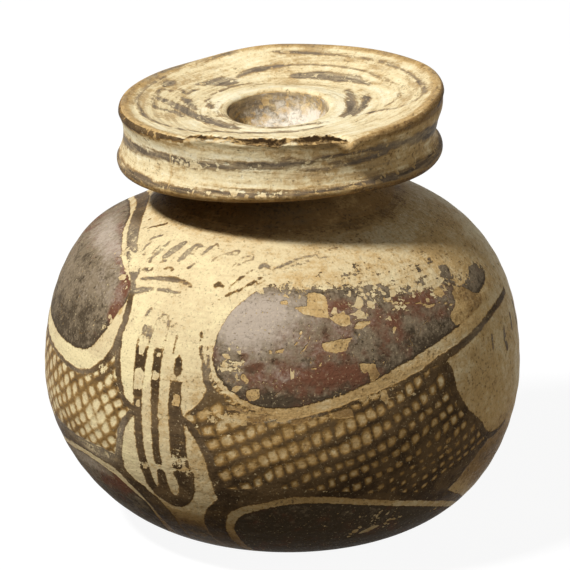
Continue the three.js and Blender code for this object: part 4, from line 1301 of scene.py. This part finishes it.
class ClayGraph(Graph):
    """Writes a clay's nodes, with places in millimetres."""

    def __init__(self, name):
        super().__init__(bpy.data.materials.new(name))
        self.place = self.vector("SCALE", self.add("ShaderNodeTexCoord").outputs["Object"], Scale=1 / MM)

    def vector(self, operation, a, b=None, **inputs):
        inputs = {0: a, **inputs}
        if b is not None:
            inputs[1] = b
        return self.add("ShaderNodeVectorMath", inputs, operation=operation).outputs[0]

    def field(self, name):
        return self.add("ShaderNodeAttribute", attribute_name=name).outputs["Fac"]

    def noise(self, size, detail=3.0, rough=0.55, place=None):
        """Even noise about 0, with features of a size in millimetres."""
        inputs = {"Vector": place or self.place, "Scale": 1 / size, "Detail": detail, "Roughness": rough}
        return self.math("SUBTRACT", self.add("ShaderNodeTexNoise", inputs).outputs[0], 0.5)

    def streaks(self, size):
        """Noise drawn out along the wheel's turn, on walls and on level tops alike."""
        level = self.vector("MULTIPLY", self.place, (1, 1, 0))
        radius = self.add("ShaderNodeVectorMath", {0: level}, operation="LENGTH").outputs["Value"]
        height = self.add("ShaderNodeSeparateXYZ", {0: self.place}).outputs[2]
        rise = self.times(self.math("SUBTRACT", height, radius), 1.5)
        lift = self.add("ShaderNodeCombineXYZ", {2: rise}).outputs[0]
        return self.noise(size, 4.0, 0.6, self.vector("ADD", self.vector("SCALE", level, Scale=0.14), lift))

    def mosaic(self, size, feature, output):
        """An irregular mosaic of chips of a size in millimetres, with wandering edges."""
        inputs = {"Vector": self.place, "Scale": 0.8 / size, "Detail": 3.0}
        wander = self.add("ShaderNodeTexNoise", inputs).outputs["Color"]
        place = self.vector("ADD", self.place, self.vector("SCALE", wander, Scale=0.7 * size))
        inputs = {"Vector": place, "Scale": 1 / size}
        return self.add("ShaderNodeTexVoronoi", inputs, feature=feature).outputs[output]

    def chips(self, size, share):
        """1 on a share of the chips of a mosaic, picked at random."""
        draw = self.add("ShaderNodeSeparateColor", {0: self.mosaic(size, "F1", "Color")}).outputs[0]
        return self.math("LESS_THAN", draw, share)

    def from_line(self, number):
        """How near a running number is to a whole one: 1 on it and 0 half way between."""
        part = self.math("FRACT", number)
        return self.times(self.math("ABSOLUTE", self.math("SUBTRACT", part, 0.5)), 2.0)

    def finish(self, colour, roughness, height):
        bump = self.add("ShaderNodeBump", {"Strength": 1.0, "Distance": MM, "Height": height})
        inputs = {"Base Color": colour, "Roughness": roughness, "Normal": bump.outputs[0]}
        shader = self.add("ShaderNodeBsdfPrincipled", inputs)
        shader.inputs["Specular IOR Level"].default_value = GLOSS
        self.add("ShaderNodeOutputMaterial", {"Surface": shader.outputs[0]})
        return self.owner


def clay(g, stain_and_shade, wheel, bright=CREAM_BRIGHT, cream=CREAM):
    """The colour of the buff clay, darkened by soil stains and painted shade, its grain as a height in mm,
    and noises for the paint to share.
    """
    broad = g.noise(15, 3)
    middle = g.noise(4.5, 4, 0.6)
    grain = g.noise(0.5, 3, 0.6)
    streak = g.streaks(1.0)
    cloud = g.noise(1.5, 6, 0.68)
    uneven = g.total((broad, 0.7), (middle, 0.7), (streak, wheel), (cloud, 0.9), (grain, 0.6))
    shade = g.total((uneven, 1.0), (stain_and_shade, 1.0), 0.36)
    colour = g.mix(g.step(shade, 0.0, 0.35), bright, cream)
    colour = g.mix(g.step(shade, 0.3, 0.75), colour, TAN)
    colour = g.mix(g.step(shade, 0.7, 1.1), colour, OCHRE)
    colour = g.mix(g.step(shade, 1.1, 1.7), colour, SOIL_AND_SHADE_BROWN)
    specks = g.step(g.total((grain, 1.0), (middle, 0.4), (stain_and_shade, 0.08)), 0.13, 0.23)
    colour = g.mix(g.times(specks, 0.6), colour, SOIL_AND_SHADE_BROWN)
    grime = g.step(g.total((cloud, 1.0), (broad, 0.4), (stain_and_shade, 0.12)), 0.15, 0.3)
    colour = g.mix(g.times(grime, 0.5), colour, OCHRE)
    brushed = g.step(g.total((streak, 1.0), (middle, 0.5), (broad, 0.4)), 0.0, 0.2)
    colour = g.mix(g.times(brushed, 0.32 * wheel), colour, GREY_THIN)
    pits = g.step(grain, -0.15, -0.22)
    height = g.total((grain, 0.09), (streak, 0.06), (cloud, 0.08), (pits, -0.08))
    return colour, height, grain, middle, cloud, streak


def painted_clay(name, wheel, soft, specks, bright, cream):
    """Buff clay with the worn slip painting, read from the fields of a piece.

    Wheel is how streaky the turning left it, soft how blurred the lines are, specks how soiled.
    """
    g = ClayGraph(name)
    bare = g.field("bare")
    meshes = g.step(g.field("net"), -0.1, 0.15)
    stain_and_shade = g.total((g.field("soil_and_shade"), 1.0), (g.step(bare, -0.3, 0.2), 0.32), (meshes, 0.02))
    base, height, grain, middle, cloud, streak = clay(g, stain_and_shade, wheel, bright, cream)
    small = g.noise(1.3, 4, 0.6)
    thin = g.field("thin")
    wobble = g.total((small, 0.4 + 0.6 * wheel), (grain, 0.35), (streak, 0.9 * wheel))

    brush = g.field("paint")
    line = g.step(g.total((brush, 1.0), (wobble, 1.0)), -0.2 - soft, 0.14 + soft)
    within = g.field("leaf")
    leaf = g.step(g.total((within, 1.0), (wobble, 0.9)), -0.1, 0.14)
    blur = g.total((small, 0.7), (middle, 0.6), (thin, -0.3))
    net_row = g.math("POWER", g.from_line(g.field("net_row")), 3.0)
    net_column = g.math("POWER", g.from_line(g.field("net_column")), 3.0)
    weight = g.total((g.step(thin, 0.3, 0.6), 0.5), 0.45)
    web = g.math("ADD", net_row, g.times(net_column, weight))
    web = g.step(g.total((g.math("POWER", web, 1 / 3), 1.0), (blur, 1.0)), 0.06, 0.9)
    slip = g.most(line, g.times(web, meshes))

    flake = g.total((g.noise(1.7, 6, 0.7), 0.8), (grain, 0.3), (streak, 0.35))
    worn = g.field("worn")
    rubbed = g.step(g.total((worn, 0.34), (flake, -1.0), -0.18), -0.03, 0.03)
    shed = g.step(g.total((bare, 1.0), (small, 0.7), (grain, 0.35)), -0.07, 0.07)
    share = g.total((worn, 0.3), (middle, 0.2), -0.025)
    chips = g.most(g.chips(1.1, share), g.chips(0.5, share))
    crazed = g.step(g.mosaic(2.2, "DISTANCE_TO_EDGE", "Distance"), 0.02, 0.004)
    crack = g.times(crazed, g.step(g.noise(5, 3), 0.1, 0.2), leaf)
    pale = g.step(g.total((small, 1.0), (grain, 1.0)), -0.02, 0.14)
    core = g.times(g.step(brush, 0.1, 0.35), g.step(thin, 0.25, 0.5), pale, 1.1 - 0.8 * wheel)
    fleck = g.step(g.total((g.noise(0.45, 2), 1.0), (middle, 0.3)), 0.19, 0.25)
    fleck = g.times(fleck, leaf, 0.8)
    gone = g.most(rubbed, shed, g.times(chips, 0.85), g.times(crack, 0.7), core, fleck)
    cover = g.times(g.most(slip, leaf), g.math("SUBTRACT", 1.0, gone))

    tint = g.step(g.total((middle, 1.0), (cloud, 0.7)), -0.16, 0.16)
    grey = g.times(g.step(thin, 0.1, 0.45), line)
    dark = g.mix(grey, g.mix(tint, SLIP_DARK, SLIP_BROWN), g.mix(tint, GREY_DARK, GREY_BROWN))
    patch = g.noise(2.4, 6, 0.72)
    haze_and_sheen = g.field("haze_and_sheen")
    mottle = g.total((patch, 1.2), (grain, 0.6), (haze_and_sheen, 0.5), (g.step(within, 0.7, 0.1), -0.25))
    leaf_tone = g.mix(g.step(mottle, -0.2, 0.14), LEAF_DARK, LEAF_OLIVE)
    red = g.step(g.total((g.field("red"), 1.0), (g.noise(3.2, 5, 0.65), 1.7), (cloud, 0.8)), 0.0, 0.6)
    leaf_tone = g.mix(red, leaf_tone, LEAF_RED)
    # Painted sheen and pale film: the leaf paint turns grey where the haze field is high.
    film_and_sheen = g.step(g.total((haze_and_sheen, 1.0), (cloud, 1.2), (grain, 0.5)), 0.1, 0.8)
    leaf_tone = g.mix(film_and_sheen, leaf_tone, HAZE_AND_SHEEN_GREY)
    paint = g.mix(leaf, dark, leaf_tone)
    depth = g.total((thin, -0.75), (middle, 0.5), (cloud, 0.9), (streak, 1.9 * wheel), 0.98)
    depth = g.math("MULTIPLY", cover, g.most(depth, leaf), True)
    colour = g.mix(g.step(depth, 0.0, 0.45), base, g.mix(grey, SLIP_THIN, GREY_THIN))
    colour = g.mix(g.step(depth, 0.2, 0.9), colour, paint)
    dust = g.noise(0.34, 2)
    colour = g.mix(g.times(g.step(dust, 0.06, 0.26), specks), colour, SOIL_AND_SHADE_BROWN)
    colour = g.mix(g.times(g.step(dust, -0.1, -0.28), 0.5), colour, CREAM)

    # The break face: brown of the broken clay, darkened as painted shade in the crevice under the edge.
    broken = g.step(g.total((g.field("broken"), 1.0), (small, 0.8)), 0.2, 0.55)
    rough = g.total((cloud, 1.2), (grain, 0.7), (g.field("broken"), -0.6), 0.45)
    break_and_shade_tone = g.mix(g.step(rough, -0.1, 0.15), BREAK_DARK_AND_SHADE, BREAK_BROWN)
    break_and_shade_tone = g.mix(g.step(g.total((rough, 1.0), (small, 0.8)), 0.12, 0.3), break_and_shade_tone, TAN)
    colour = g.mix(broken, colour, break_and_shade_tone)
    # Lime crust, whiter on the bowl's lit side as painted light.
    lime_and_light = g.step(g.total((g.field("lime_and_light"), 1.0), (small, 0.9), (cloud, 1.2)), 0.3, 0.8)
    colour = g.mix(lime_and_light, colour, LIME_AND_LIGHT_WHITE)
    roughness = g.total((grain, 0.3), (cloud, 0.25), (lime_and_light, 0.3), (leaf, 0.1), (broken, 0.4), PAINT_ROUGHNESS)
    pebble = g.times(g.noise(0.8, 2), leaf)
    relief = g.total((height, 1.0), (cover, 0.09), (patch, 0.08), (pebble, 0.09), (lime_and_light, 0.06))
    height = g.total((relief, 1.0), (crack, -0.06))
    return g.finish(colour, roughness, height)


def bare_clay(name, stain_and_shade):
    """Unpainted clay, darkened by soil stains, and on the neck and its joints also by painted shade."""
    g = ClayGraph(name)
    base, height, grain, _, cloud, _ = clay(g, g.total((g.noise(7, 3), 0.6), stain_and_shade), 0.4)
    roughness = g.total((grain, 0.3), (cloud, 0.25), CLAY_ROUGHNESS)
    return g.finish(base, roughness, height)


# Stage: floor, world, lamps and camera
FLOOR_HALF = 1.5
FLOOR_SEEN = tone(100, 100, 100)
FLOOR_BOUNCE = tone(114, 108, 98)
FLOOR_GLOW = 0.92
WORLD_FILL = 0.06
KEY_TURN = math.radians(-27)
KEY_RISE = math.radians(51.5)
KEY_DISTANCE = 1.0
KEY_SIZE = (0.18, 0.1)
KEY_POWER = 11.7
FILL_TURN = math.radians(92)
FILL_RISE = math.radians(16)
FILL_DISTANCE = 1.0
FILL_SIZE = 0.5
FILL_POWER = 2.0


def make_floor():
    corners = [(x, y, 0) for x, y in ((-1, -1), (1, -1), (1, 1), (-1, 1))]
    mesh = bpy.data.meshes.new("floor")
    mesh.from_pydata((np.array(corners) * FLOOR_HALF).tolist(), [], [(0, 1, 2, 3)])
    floor = bpy.data.objects.new("floor", mesh)
    bpy.context.scene.collection.objects.link(floor)
    g = Graph(bpy.data.materials.new("pale_floor"))
    seen = g.add("ShaderNodeBsdfDiffuse", {"Color": FLOOR_SEEN}).outputs[0]
    glow = g.add("ShaderNodeEmission", {"Strength": FLOOR_GLOW}).outputs[0]
    lit = g.add("ShaderNodeAddShader", {0: seen, 1: glow}).outputs[0]
    bounce = g.add("ShaderNodeBsdfDiffuse", {"Color": FLOOR_BOUNCE}).outputs[0]
    choice = g.add("ShaderNodeMixShader", {0: g.pale_rays(), 1: bounce, 2: lit}).outputs[0]
    g.add("ShaderNodeOutputMaterial", {"Surface": choice})
    mesh.materials.append(g.owner)


def make_world():
    g = Graph(bpy.data.worlds.new("studio"))
    strength = g.add("ShaderNodeMapRange", {"Value": g.pale_rays(), "To Min": WORLD_FILL}).outputs[0]
    background = g.add("ShaderNodeBackground", {"Color": (1, 1, 1, 1), "Strength": strength}).outputs[0]
    g.add("ShaderNodeOutputWorld", {"Surface": background})
    bpy.context.scene.world = g.owner


def place_facing(thing, turn, rise, distance, aim):
    """Puts a lamp or camera round the flask, turned from the front, and points it at the aim."""
    level = math.cos(rise)
    back = Vector((math.sin(turn) * level, -math.cos(turn) * level, math.sin(rise)))
    thing.location = aim + back * distance
    thing.rotation_euler = back.to_track_quat("Z", "Y").to_euler()
    bpy.context.scene.collection.objects.link(thing)


def make_lamp(name, size, power, turn, rise, distance):
    light = bpy.data.lights.new(name, "AREA")
    light.shape = "RECTANGLE"
    light.size, light.size_y = size
    light.energy = power
    place_facing(bpy.data.objects.new(name, light), turn, rise, distance, VIEW_AIM)


def make_camera():
    lens = bpy.data.cameras.new("camera")
    lens.lens = VIEW_LENS
    lens.shift_x, lens.shift_y = VIEW_SHIFT
    camera = bpy.data.objects.new("camera", lens)
    place_facing(camera, VIEW_AZIMUTH, VIEW_ELEVATION, VIEW_DISTANCE, VIEW_AIM)
    bpy.context.scene.camera = camera


make_camera()
make_world()
make_floor()
make_lamp("key", KEY_SIZE, KEY_POWER, KEY_TURN, KEY_RISE, KEY_DISTANCE)
make_lamp("fill", (FILL_SIZE, FILL_SIZE), FILL_POWER, FILL_TURN, FILL_RISE, FILL_DISTANCE)
bpy.context.scene.view_settings.view_transform = "Standard"

body_paint = painted_clay("painted_body", 0.35, 0.0, 0.42, CREAM_BRIGHT, CREAM)
disc_paint = painted_clay("banded_disc", 1.0, 0.34, 0.22, DISC_BRIGHT, DISC_CREAM)
plain_clay = bare_clay("bare_clay", 0.5)
# The neck and the coils round it are darker than the strap: painted shade under the disc.
neck_clay = bare_clay("neck_clay", 0.85)
joint_clay = bare_clay("joint_clay", 0.7)
neck_joint_clay = bare_clay("neck_joint_clay", 0.75)
make_body(body_paint)
make_disc(disc_paint)
make_neck(neck_clay)
make_coil(
    "foot_smear",
    NECK_FOOT_RADIUS,
    SEAT_RADIUS + FOOT_SMEAR_REACH,
    NECK_FOOT - FOOT_SMEAR_SINK,
    FOOT_SMEAR_HEIGHT,
    neck_joint_clay,
    "neck_foot_luting",
)
make_coil(
    "top_smear",
    NECK_TOP_RADIUS,
    DISC_SEAT_RADIUS + TOP_SMEAR_REACH,
    DISC_SEAT + TOP_SMEAR_SINK,
    TOP_SMEAR_HEIGHT,
    neck_joint_clay,
    "neck_top_luting",
)
make_strap(plain_clay)
foot_height, foot_tip = shoulder_at(STRAP_FOOT_RADIUS)
make_mound(
    "strap_foot_smear",
    STRAP_FOOT_RADIUS,
    foot_height,
    foot_tip,
    FOOT_MOUND_SPREAD,
    FOOT_MOUND_BEND,
    joint_clay,
    "handle_foot_luting",
)
make_mound(
    "strap_top_smear", RIM_WAIST_RADIUS, STRAP_TOP, math.pi / 2, SMEAR, 1, joint_clay, "handle_top_luting"
)
